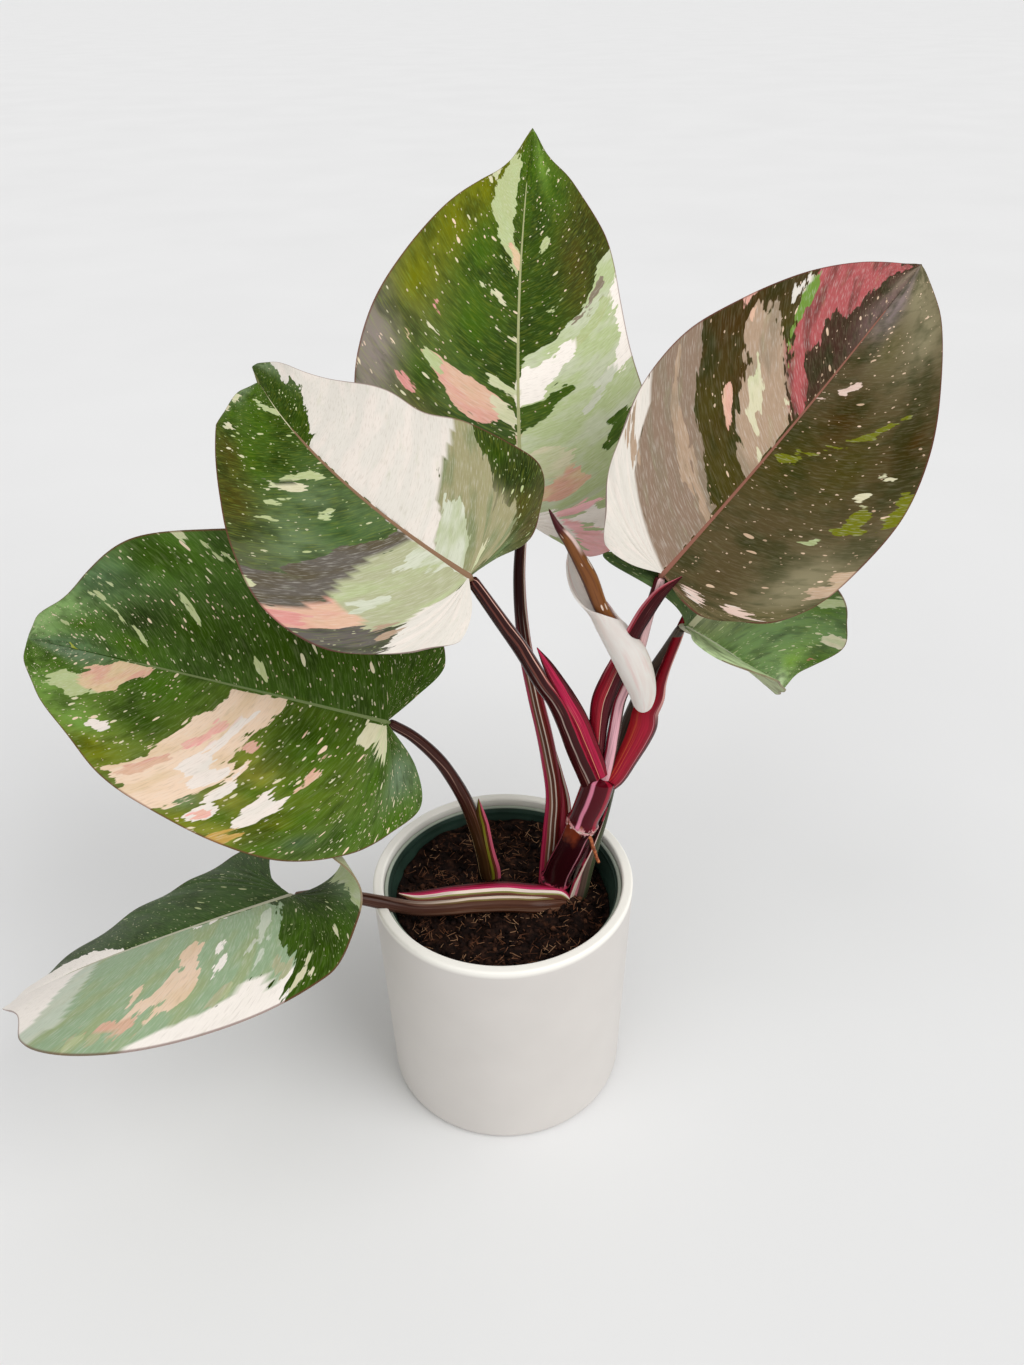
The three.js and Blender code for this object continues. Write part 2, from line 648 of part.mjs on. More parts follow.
// Each grown piece gives way to those before it in this list, and keeps a small gap to them
const BLADES = Object.keys(LEAVES).map((name) => [
  `blade_${name}`, (grow) => blade(name, grow), waxy(COLOURS.blade),
]);
const PETIOLES = ["right", "front", "back", "low", "far", "left"].map((name) => [
  `petiole_${name}`, (grow) => petiole(name, grow), waxy(COLOURS.petiole),
]);
const GROWN = [
  ["main_stem", stem, waxy(COLOURS.stem)],
  ...BLADES,
  ...PETIOLES,
  ["rolled_leaf", rolledLeaf, waxy(COLOURS.rolled)],
  ["cataphyll", cataphyll, waxy(COLOURS.stem)],
  ["aerial_root", aerialRoot, matt(COLOURS.root)],
];

const plant = new THREE.Group();

function addPiece(name, solid, material) {
  const mesh = new THREE.Mesh(geometryOf(solid), material);
  mesh.name = name;
  plant.add(mesh);
}

// The largest of a cut piece's bodies, without the scraps that a cut can leave
function mainBody(solid) {
  const bodies = solid.decompose();
  return bodies.reduce((best, body) => (body.volume() > best.volume() ? body : best), bodies[0]);
}

addPiece("cover_pot", coverPot(), waxy(COLOURS.pot));
addPiece("nursery_pot", nurseryPot(), waxy(COLOURS.nursery));

let soil = soilBlock();
const grownBefore = [];
for (const [name, build, material] of GROWN) {
  let solid = build(0);
  for (const earlier of grownBefore) solid = solid.subtract(earlier);
  addPiece(name, mainBody(solid), material);
  const grown = build(FIT_GAP);
  grownBefore.push(grown);
  soil = soil.subtract(grown);
}
addPiece("potting_soil", mainBody(soil), matt(COLOURS.soil));

export default plant;
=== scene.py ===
# %% [markdown]
# # A potted climber with marbled leaves
# The plant was first made as plain solids, with a stem, six leaves and their stalks, one leaf still
# rolled up in its red sheath, soil and two pots. Here each of them gets its fine shape and its finish, on
# top of those solids, so that every piece stays where it was.

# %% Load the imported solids
import math

import bpy
import numpy as np
from mathutils import Matrix, Vector, noise as field


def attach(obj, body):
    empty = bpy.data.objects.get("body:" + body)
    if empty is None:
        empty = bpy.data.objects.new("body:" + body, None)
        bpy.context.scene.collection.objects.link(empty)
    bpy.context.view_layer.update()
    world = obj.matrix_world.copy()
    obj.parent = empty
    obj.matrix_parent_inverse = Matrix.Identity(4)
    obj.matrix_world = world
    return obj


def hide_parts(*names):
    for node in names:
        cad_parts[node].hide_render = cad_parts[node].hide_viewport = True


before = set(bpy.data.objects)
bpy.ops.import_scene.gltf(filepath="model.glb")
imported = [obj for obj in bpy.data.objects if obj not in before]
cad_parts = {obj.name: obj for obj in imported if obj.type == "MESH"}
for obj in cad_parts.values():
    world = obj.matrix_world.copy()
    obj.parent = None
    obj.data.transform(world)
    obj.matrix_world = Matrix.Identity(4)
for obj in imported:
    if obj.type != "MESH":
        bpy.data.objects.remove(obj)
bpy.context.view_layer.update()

print("solids:", len(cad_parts))

# %% [markdown]
# ## Camera
# The view is from above and in front. The place and the lens were worked out from the rim and foot of the
# pot, whose real sizes were settled first, so the plant stands in the frame as it does in the picture.

# %% Camera
CAMERA_PLACE = (0.00665, -0.4428, 0.54631)
CAMERA_TILT = 32.9
CAMERA_ROLL = -0.93
LENS = 29.01
SENSOR = 36

bpy.ops.object.camera_add(location=CAMERA_PLACE)
camera = bpy.context.active_object
tilt = Matrix.Rotation(math.radians(90 - CAMERA_TILT), 3, "X")
roll = Matrix.Rotation(math.radians(CAMERA_ROLL), 3, "Z")
camera.rotation_euler = (tilt @ roll).to_euler()
camera.data.lens = LENS
camera.data.sensor_width = SENSOR
camera.data.clip_start = 0.01
bpy.context.scene.camera = camera
print("camera lens:", round(camera.data.lens, 2), "mm")

# %% [markdown]
# ## Light
# A studio picture on a pale ground. Two wide suns stand in front, one at each side, and a pale world
# fills the shadows. A sun lights the floor evenly out to the horizon, which an area light can't do, and
# its wide angle keeps the shadows soft.

# %% Lights and floor
WORLD_LIGHT = 0.56
FLOOR_SIZE = 600


def wide_sun(name, towards, strength, spread):
    bpy.ops.object.light_add(type="SUN", location=(0, 0, 1))
    light = bpy.context.active_object
    light.name = name
    light.data.energy = strength
    light.data.angle = math.radians(spread)
    x, y, z = towards
    light.rotation_euler = (math.atan2(math.hypot(x, y), z), 0, math.atan2(x, -y))


wide_sun("right_front", (0.72, -0.5, 0.74), 1.5, 42)
wide_sun("left_front", (-0.4, -0.45, 0.9), 0.6, 45)

world = bpy.data.worlds.new("studio")
world.use_nodes = True
bpy.context.scene.world = world
sky = world.node_tree.nodes["Background"]
sky.inputs["Color"].default_value = (1, 1, 1, 1)
sky.inputs["Strength"].default_value = WORLD_LIGHT
bpy.context.scene.view_settings.view_transform = "Standard"

bpy.ops.mesh.primitive_plane_add(size=FLOOR_SIZE)
floor = bpy.context.active_object
floor.name = "floor"

# %% [markdown]
# ## Colours
# Colours are easiest to name as they look on a screen, and the shader wants them in linear light, so one
# small function turns the first into the second. The leaf colours get plain names here, because the
# markings use each of them many times.

# %% Colours
LEAF_COLOURS = {
    "dark": "2c4400", "green": "3c5c04", "lime": "6c7000", "bright": "6c8f34", "blue": "3f5a2a",
    "grey_green": "667a50", "olive": "443f0c", "brown": "402e02", "umber": "52482a", "drab": "867a66",
    "sea": "5f7c46", "maroon": "3e271a", "mauve": "74605a", "night": "1e2c05", "white": "dfd9cf",
    "cream": "d6d0ae", "mint": "b4be88", "sage": "a0ab78", "moss": "9c9670", "tan": "ae947c",
    "sand": "c4a88c", "pink": "dcb398", "blush": "dcc0b2", "rose": "ac5254", "salmon": "c86664",
    "mustard": "94912c", "chart": "aab23c", "peach": "dcbf98", "fog": "ccd0ba", "leafy": "7fa050",
    "rust": "8a6650", "wine": "8c4a46", "rosy": "d8948c", "herb": "b6c490", "rib_green": "5c8048",
    "pale_leafy": "8fae5c", "stone": "b2bd98", "snow": "fbf3ea", "petal": "f0aca6", "shell": "ecd0b6",
    "haze": "a9bd8c", "fern": "3e5230", "bone": "ece0d6", "lichen": "aeb08c", "candy": "ffc4c8",
    "fawn": "8c7664", "silver": "c6d0bc", "celadon": "98b08c", "khaki": "68633e", "hay": "8c8866",
    "slate": "625c54", "smoke": "8e827c", "honey": "c09a4c", "edge_brown": "6a3a34",
    "under_brown": "8f7a5e",
}


def ink(name):
    text = LEAF_COLOURS.get(name, name)
    parts = [int(text[i:i + 2], 16) / 255 for i in (0, 2, 4)]
    return tuple(p / 12.92 if p <= 0.04045 else ((p + 0.055) / 1.055) ** 2.4 for p in parts) + (1.0,)


print("leaf colours:", len(LEAF_COLOURS))

# %% [markdown]
# ## Shader helper
# A finish is a chain of small nodes. This helper adds one node, sets its options and joins or fills its
# inputs by name, so that each finish below reads like a recipe.

# %% Shader helper
class Recipe:
    def __init__(self, name):
        self.material = bpy.data.materials.new(name)
        self.material.use_nodes = True
        self.tree = self.material.node_tree
        self.shader = self.tree.nodes["Principled BSDF"]

    def feed(self, socket, value):
        if isinstance(value, bpy.types.NodeSocket):
            self.tree.links.new(value, socket)
        else:
            socket.default_value = ink(value) if isinstance(value, str) else value

    def add(self, kind, *values, out=0, **named):
        node = self.tree.nodes.new("ShaderNode" + kind)
        for key, value in named.items():
            socket = node.inputs.get(key.replace("_", " "))
            if socket is None:
                setattr(node, key, value)
            else:
                self.feed(socket, value)
        for socket, value in zip(node.inputs, values):
            self.feed(socket, value)
        return node.outputs[out]

    def math(self, operation, *values):
        return self.add("Math", *values, operation=operation)

    def plus(self, first, second):
        return self.math("ADD", first, second)

    def times(self, first, second):
        return self.math("MULTIPLY", first, second)

    def mix(self, share, first, second):
        node = self.tree.nodes.new("ShaderNodeMix")
        node.data_type = "RGBA"
        for index, value in ((0, share), (6, first), (7, second)):
            self.feed(node.inputs[index], value)
        return node.outputs[2]

    def place(self):
        return self.add("TexCoord", out="Object")

    def uv_map(self):
        return self.add("UVMap", uv_map="UVMap")

    def stretch(self, vector, across, along):
        return self.add("Mapping", Vector=vector, Scale=(across, along, 1.0))

    def noise(self, vector, scale=1.0, detail=3.0, out=0):
        return self.add("TexNoise", Vector=vector, Scale=scale, Detail=detail, out=out)

    def streaks(self, uv, across, along, detail=3.0):
        return self.noise(self.stretch(uv, across, along), 1.0, detail)

    def between(self, value, low, high, to_low=0.0, to_high=1.0):
        return self.add("MapRange", value, low, high, to_low, to_high)

    def within(self, value, start, full, last, end):
        return self.times(self.between(value, start, full), self.between(value, end, last))

    def wash(self, under, over, value, low, high, share=1.0):
        return self.mix(self.between(value, low, high, 0.0, share), under, over)

    def stored(self, name, out="Color"):
        return self.add("Attribute", attribute_name=name, out=out)

    def ramp(self, value, *stops):
        node = self.tree.nodes.new("ShaderNodeValToRGB")
        self.feed(node.inputs[0], value)
        elements = node.color_ramp.elements
        while len(elements) < len(stops):
            elements.new(0.5)
        for element, (place, colour) in zip(elements, stops):
            element.position = place
            element.color = ink(colour)
        return node.outputs[0]

    def stripes(self, value, *bands, soft=0.006):
        stops = []
        for (start, colour), (end, _) in zip(bands, list(bands[1:]) + [(1.0 - soft, None)]):
            stops += [(max(start + soft, 0), colour), (end - soft, colour)]
        return self.ramp(value, *stops)

    def dashes(self, uv, across, along, share, size):
        warp = self.noise(self.stretch(uv, across, along), 0.7, 1.0, out=1)
        spot = self.add("VectorMath", self.stretch(uv, across, along), warp, operation="ADD")
        cells = self.add("TexVoronoi", Vector=spot, Scale=1.0)
        luck = self.add("SeparateColor", cells.node.outputs["Color"])
        radius = self.between(luck, 1 - share, 1.0, 0.0, size)
        return self.between(self.math("SUBTRACT", radius, cells), 0.0, 0.04)

    def bump(self, height, strength, distance):
        bumped = self.add("Bump", Strength=strength, Distance=distance, Height=height)
        self.feed(self.shader.inputs["Normal"], bumped)

    def finish(self, colour, roughness, shine=0.5, **fixed):
        self.feed(self.shader.inputs["Base Color"], colour)
        self.feed(self.shader.inputs["Roughness"], roughness)
        self.shader.inputs["Specular IOR Level"].default_value = shine
        for key, value in fixed.items():
            self.shader.inputs[key.replace("_", " ")].default_value = value
        return self.material


backdrop = Recipe("pale_floor")
dust = backdrop.noise(backdrop.place(), 3.0)
floor.data.materials.append(backdrop.finish(backdrop.ramp(dust, (0.3, "e6e6e6"), (0.7, "e9e9e9")), 0.9))
print("floor finish:", backdrop.material.name)

# %% [markdown]
# ## Modelling helpers
# Nearly everything on a plant is a strip or a tube that follows a curve. A grid primitive is a good start
# for both: its points are moved to their place on the curve, the seam is merged, and the grid's own UV
# map stays on it, so a pattern can follow the growth. These helpers drape such a grid, apply modifiers,
# merge the seam, and hand a finished piece over to the frame.

# %% Modelling helpers
def choose(*objects):
    bpy.ops.object.select_all(action="DESELECT")
    for obj in objects:
        obj.select_set(True)
    bpy.context.view_layer.objects.active = objects[0]


def edit_all(obj, operator, **settings):
    choose(obj)
    bpy.ops.object.mode_set(mode="EDIT")
    bpy.ops.mesh.select_all(action="SELECT")
    operator(**settings)
    bpy.ops.object.mode_set(mode="OBJECT")


def modify(obj, kind, **settings):
    choose(obj)
    modifier = obj.modifiers.new(kind.lower(), kind)
    for key, value in settings.items():
        setattr(modifier, key, value)
    bpy.ops.object.modifier_apply(modifier=modifier.name)


def merge(obj):
    edit_all(obj, bpy.ops.mesh.remove_doubles, threshold=2e-5)


def close(obj):
    merge(obj)
    edit_all(obj, bpy.ops.mesh.normals_make_consistent, inside=False)


def join(first, *others):
    choose(first, *others)
    bpy.ops.object.join()
    return first


def drape(name, columns, rows, place):
    bpy.ops.object.select_all(action="DESELECT")
    bpy.ops.mesh.primitive_grid_add(x_subdivisions=columns, y_subdivisions=rows, size=1)
    obj = bpy.context.active_object
    obj.name = name
    flat = np.empty(3 * len(obj.data.vertices))
    obj.data.vertices.foreach_get("co", flat)
    flat = flat.reshape(-1, 3)
    points = place(flat[:, 0] + 0.5, flat[:, 1] + 0.5) / 1000
    obj.data.vertices.foreach_set("co", points.ravel())
    obj.data.update()
    return obj


def store(obj, name, values):
    kind, field_name = ("FLOAT", "value") if values.ndim == 1 else ("FLOAT_COLOR", "color")
    layer = obj.data.attributes.new(name, kind, "POINT")
    layer.data.foreach_set(field_name, values.astype(np.float32).ravel())


def complete(obj, node, materials=(), angle=40):
    choose(obj)
    bpy.ops.object.shade_smooth_by_angle(angle=math.radians(angle))
    for material in materials:
        obj.data.materials.append(material)
    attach(obj, "root")
    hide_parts(node)
    print(obj.name, "faces:", len(obj.data.polygons))


print("helpers that change a mesh:", len((modify, merge, close, join, drape)))

# %% [markdown]
# ## Curves
# A smooth curve through a few named points is a Catmull-Rom curve, and a share s from 0 to 1 runs evenly
# along it. At each s the curve gives its centre, the direction that faces a chosen way, and the one
# across. A tube, a curved strip and a clasping sheath are then each one short function of s and a turn or
# a side.

# %% Curves
CURVE_STEPS = 401


def smooth_step(low, high, x):
    share = np.clip((x - low) / (high - low), 0, 1)
    return share * share * (3 - 2 * share)


def through_points(points, u):
    points = np.asarray(points, float)
    place = (len(points) - 1) * np.atleast_1d(u)
    first = np.minimum(place.astype(int), len(points) - 2)
    w = (place - first)[:, None]
    padded = np.vstack([2 * points[0] - points[1], points, 2 * points[-1] - points[-2]])
    a, b, c, d = (padded[first + k] for k in range(4))

    def gap(p, q):
        return np.maximum(((q - p) ** 2).sum(1) ** 0.25, 1e-6)[:, None]

    before, here, after = gap(a, b), gap(b, c), gap(c, d)
    leave = ((b - a) / before - (c - a) / (before + here) + (c - b) / here) * here
    arrive = ((c - b) / here - (d - b) / (here + after) + (d - c) / after) * here
    square = 3 * (c - b) - 2 * leave - arrive
    return b + leave * w + square * w ** 2 + (2 * (b - c) + leave + arrive) * w ** 3


def measured(rows):
    fine = through_points(rows, np.linspace(0, 1, CURVE_STEPS))
    steps = np.linalg.norm(np.diff(fine[:, :3], axis=0), axis=1)
    return fine, np.concatenate([[0], np.cumsum(steps)])


def along_route(route, s, towards):
    fine, lengths = measured(route)
    heading = np.gradient(fine, axis=0)
    where = np.atleast_1d(s) * lengths[-1]
    centre = np.stack([np.interp(where, lengths, fine[:, k]) for k in range(3)], 1)
    tangent = np.stack([np.interp(where, lengths, heading[:, k]) for k in range(3)], 1)
    tangent /= np.linalg.norm(tangent, axis=1)[:, None]
    towards = np.asarray(towards, float)
    face = towards - tangent * (tangent @ towards)[:, None]
    face /= np.linalg.norm(face, axis=1)[:, None]
    return centre, face, np.cross(tangent, face)


def row_sizes(rows, s):
    fine, lengths = measured(rows)
    return np.interp(s * lengths[-1], lengths, fine[:, 3])


def foot_middle_tip(sizes, s):
    foot, middle, tip = sizes
    return foot * (1 - s) * (1 - 2 * s) + middle * 4 * s * (1 - s) + tip * s * (2 * s - 1)


def tube(name, route, radius, towards, rings=90, sides=32):
    cap = 0.015

    def place(u, v):
        centre, face, across = along_route(route, v, towards)
        angle = 2 * np.pi * u
        ends = np.sqrt(1 - np.clip(1 - np.minimum(v, 1 - v) / cap, 0, 1) ** 2)
        r = (radius(v, angle) * ends)[:, None]
        return centre + face * r * np.cos(angle)[:, None] + across * r * np.sin(angle)[:, None]

    obj = drape(name, sides, rings, place)
    close(obj)
    return obj


def strip(name, rows, towards, cup=0.5, columns=18, steps=70):
    rows = np.array(rows, float)

    def place(u, v):
        centre, face, across = along_route(rows[:, :3], v, towards)
        half = np.maximum(row_sizes(rows, v), 0.05)[:, None]
        side = (2 * u - 1)[:, None]
        return centre + across * half * side + face * half * cup * (1 - side ** 2)

    obj = drape(name, columns, steps, place)
    modify(obj, "SOLIDIFY", thickness=0.0009, offset=0)
    return obj


def clasp(name, route, radius, turn, towards):
    def place(u, v):
        centre, face, across = along_route(route, v, towards)
        side = 2 * u - 1
        angle = np.radians(foot_middle_tip(turn, v)) * side
        r = (foot_middle_tip(radius, v) * (1 + 0.06 * np.abs(side) ** 3))[:, None]
        return centre - face * r * np.cos(angle)[:, None] + across * r * np.sin(angle)[:, None]

    obj = drape(name, 28, 60, place)
    modify(obj, "SOLIDIFY", thickness=0.0009, offset=0)
    return obj


print("shapes that follow a curve:", tube.__name__, strip.__name__, clasp.__name__)

# %% [markdown]
# ## Leaf shapes
# A heart-shaped blade hangs from the notch where its stalk joins. Its rib is an even helix in space, each
# half folds up from the rib and curls, and its margin is a smooth flat curve round the heart. A place on
# a leaf is named by two shares: t goes from the notch to the tip, vein by vein, and r goes from the rib
# to the margin. The numbers are those of the solid blades, so a finished leaf lies where its solid does.

# %% Leaf shapes
MARGIN_ANGLES = np.radians([0, 5, 12, 24, 42, 64, 88, 110, 128, 143, 155, 166])
MARGIN_CENTRE = 0.28
LEFT, RIGHT = 0, 1
LEAVES = {
    "back": {
        "base": [13.4, 60.7, 316.8], "length": 204.7, "azimuth": 95.3, "rise": 57.5, "roll": 13.5,
        "bend": 7.1, "sweep": -12.9, "twist": -5.8, "lobe_rise": -1.7,
        "fold": [4.5, -1.8], "curl": [-7.7, -11.1],
        "left": [0.72, 0.61, 0.56, 0.50, 0.44, 0.41, 0.40, 0.39, 0.39, 0.39, 0.39, 0.36],
        "right": [0.72, 0.65, 0.61, 0.53, 0.41, 0.35, 0.36, 0.38, 0.41, 0.43, 0.41, 0.34],
    },
    "front": {
        "base": [-11.2, -21.6, 328.4], "length": 172, "azimuth": 158.7, "rise": 26.8, "roll": -40.5,
        "bend": 39.1, "sweep": -30, "twist": -4.8, "lobe_rise": -2.3,
        "fold": [15.9, -3.9], "curl": [-6.6, -5.8],
        "left": [0.72, 0.69, 0.61, 0.48, 0.40, 0.37, 0.39, 0.40, 0.38, 0.38, 0.39, 0.35],
        "right": [0.72, 0.68, 0.57, 0.47, 0.39, 0.32, 0.34, 0.39, 0.45, 0.42, 0.39, 0.32],
    },
    "left": {
        "base": [-54.6, -5.2, 241.7], "length": 204.3, "azimuth": 182.1, "rise": 19.3, "roll": -55.1,
        "bend": 46.5, "sweep": 0.8, "twist": 0, "lobe_rise": 0, "fold": [21, 26.1], "curl": [-1.8, -1.5],
        "left": [0.72, 0.68, 0.60, 0.49, 0.42, 0.37, 0.37, 0.40, 0.42, 0.43, 0.44, 0.38],
        "right": [0.72, 0.67, 0.58, 0.51, 0.46, 0.40, 0.39, 0.39, 0.41, 0.42, 0.41, 0.34],
    },
    "low": {
        "base": [-107.1, -32.6, 154.5], "length": 193, "azimuth": 204.7, "rise": 0.6, "roll": -12.7,
        "bend": 60, "sweep": -35, "twist": 8.4, "lobe_rise": 94,
        "fold": [38, -25.4], "curl": [-39.8, -13.2],
        "left": [0.72, 0.60, 0.50, 0.42, 0.42, 0.42, 0.43, 0.46, 0.47, 0.48, 0.54, 0.60],
        "right": [0.72, 0.63, 0.58, 0.48, 0.40, 0.34, 0.33, 0.41, 0.47, 0.33, 0.28, 0.27],
    },
    "right": {
        "base": [76.2, 4, 314.8], "length": 192.6, "azimuth": 33.1, "rise": 35.2, "roll": 43.2,
        "bend": 2, "sweep": 4.7, "twist": 0, "lobe_rise": 0, "fold": [15.7, 14.3], "curl": [-3.4, -4.5],
        "left": [0.72, 0.67, 0.62, 0.53, 0.44, 0.38, 0.34, 0.32, 0.33, 0.34, 0.36, 0.33],
        "right": [0.72, 0.68, 0.62, 0.53, 0.44, 0.38, 0.34, 0.34, 0.34, 0.33, 0.33, 0.31],
    },
    "far": {
        "base": [91.1, 18.7, 278.0], "length": 192.9, "azimuth": 64.6, "rise": -33.9, "roll": 86.8,
        "bend": -16.0, "sweep": -9.7, "twist": 18.5, "lobe_rise": -53.5,
        "fold": [26.3, 66.0], "curl": [59.9, 10.8],
        "left": [0.74, 0.68, 0.67, 0.64, 0.50, 0.40, 0.36, 0.35, 0.35, 0.38, 0.44, 0.70],
        "right": [0.73, 0.51, 0.39, 0.33, 0.28, 0.24, 0.24, 0.28, 0.35, 0.43, 0.47, 0.42],
    },
}
print("leaves:", ", ".join(LEAVES))

# %% [markdown]
# ## A place on a leaf
# First the rib's own frame is found at a share of its length. Then a flat place on the blade, x along the
# rib and y out from it, is folded and curled into space. Last, the chart of veins turns t and r into that
# x and y: each vein leaves the rib, bows a little and ends on the margin, and the first ones fan out
# round the notch.

# %% A place on a leaf
FAN_SHARE = 0.37
VEIN_BOW = 0.09
LOBE_REACH = 0.2


def turned_about(axis, angle, vector):
    angle = angle[:, None]
    return (vector * np.cos(angle) + np.cross(axis, vector) * np.sin(angle)
            + axis * (axis @ vector) * (1 - np.cos(angle)))


def rib_frame(leaf, share):
    share = np.atleast_1d(share).astype(float)
    azimuth, rise, roll = np.radians([leaf["azimuth"], leaf["rise"], leaf["roll"]])
    along = np.array([np.cos(azimuth) * np.cos(rise), np.sin(azimuth) * np.cos(rise), np.sin(rise)])
    level = np.array([np.sin(azimuth), -np.cos(azimuth), 0])
    face = np.cross(level, along) * np.cos(roll) + level * np.sin(roll)
    start = np.stack([along, face, np.cross(along, face)], 1)
    turning = np.radians([leaf["twist"], leaf["sweep"], -leaf["bend"]])
    rate = np.linalg.norm(turning)
    axis = turning / rate
    once = np.cross(axis, [1.0, 0, 0])
    twice = np.cross(axis, once)
    s = share[:, None]
    local = np.array([1.0, 0, 0]) * s + once * (1 - np.cos(rate * s)) / rate
    local += twice * (s - np.sin(rate * s) / rate)
    centre = (local * leaf["length"]) @ start.T + np.array(leaf["base"])
    axes = [turned_about(axis, rate * share, np.eye(3)[k]) @ start.T for k in range(3)]
    return centre, axes[0], axes[1], axes[2]


def blade_point(leaf, x, y, half):
    centre, along, face, side = rib_frame(leaf, np.clip(x / leaf["length"], 0, 1))
    back = np.minimum(x, 0)[:, None]
    lobe_rate = -np.radians(leaf["lobe_rise"]) / (LOBE_REACH * leaf["length"])
    if abs(lobe_rate) > 1e-6:
        centre = centre + along * np.sin(lobe_rate * back) / lobe_rate
        centre = centre - face * (1 - np.cos(lobe_rate * back)) / lobe_rate
    else:
        centre = centre + along * back
    fold = np.radians(leaf["fold"][half])
    curl = np.radians(leaf["curl"][half]) / 100
    turn = fold + curl * y[:, None]
    out = (np.sin(turn) - np.sin(fold)) / curl
    up = (np.cos(fold) - np.cos(turn)) / curl
    return centre + side * (out if half == RIGHT else -out) + face * up


def margin(leaf, half):
    reach = np.array(leaf["left"] if half == LEFT else leaf["right"])
    ring = np.stack([MARGIN_CENTRE + reach * np.cos(MARGIN_ANGLES), reach * np.sin(MARGIN_ANGLES)], 1)
    ring[0] = (1, 0)
    ring = np.vstack([[0, 0], ring[::-1]]) * leaf["length"]
    lobe = 1 + int(np.argmin(ring[1:, 0]))
    return ring, lobe / (len(ring) - 1)


def vein_point(leaf, half, t, r):
    ring, lobe = margin(leaf, half)
    start = np.stack([leaf["length"] * np.maximum(0, (t - FAN_SHARE) / (1 - FAN_SHARE)), 0 * t], 1)
    chord = through_points(ring, lobe + (1 - lobe) * t) - start
    flat = start + chord * r[:, None]
    bow = VEIN_BOW * 4 * r * (1 - r) * smooth_step(0, 0.25, t)
    flat = flat + np.stack([-chord[:, 1], chord[:, 0]], 1) * bow[:, None]
    notch = through_points(ring, lobe * r) - through_points(ring, lobe) * r[:, None]
    return flat + notch * (np.maximum(0, 1 - t / 0.3) ** 2)[:, None]


print("longest rib:", max(leaf["length"] for leaf in LEAVES.values()), "mm")
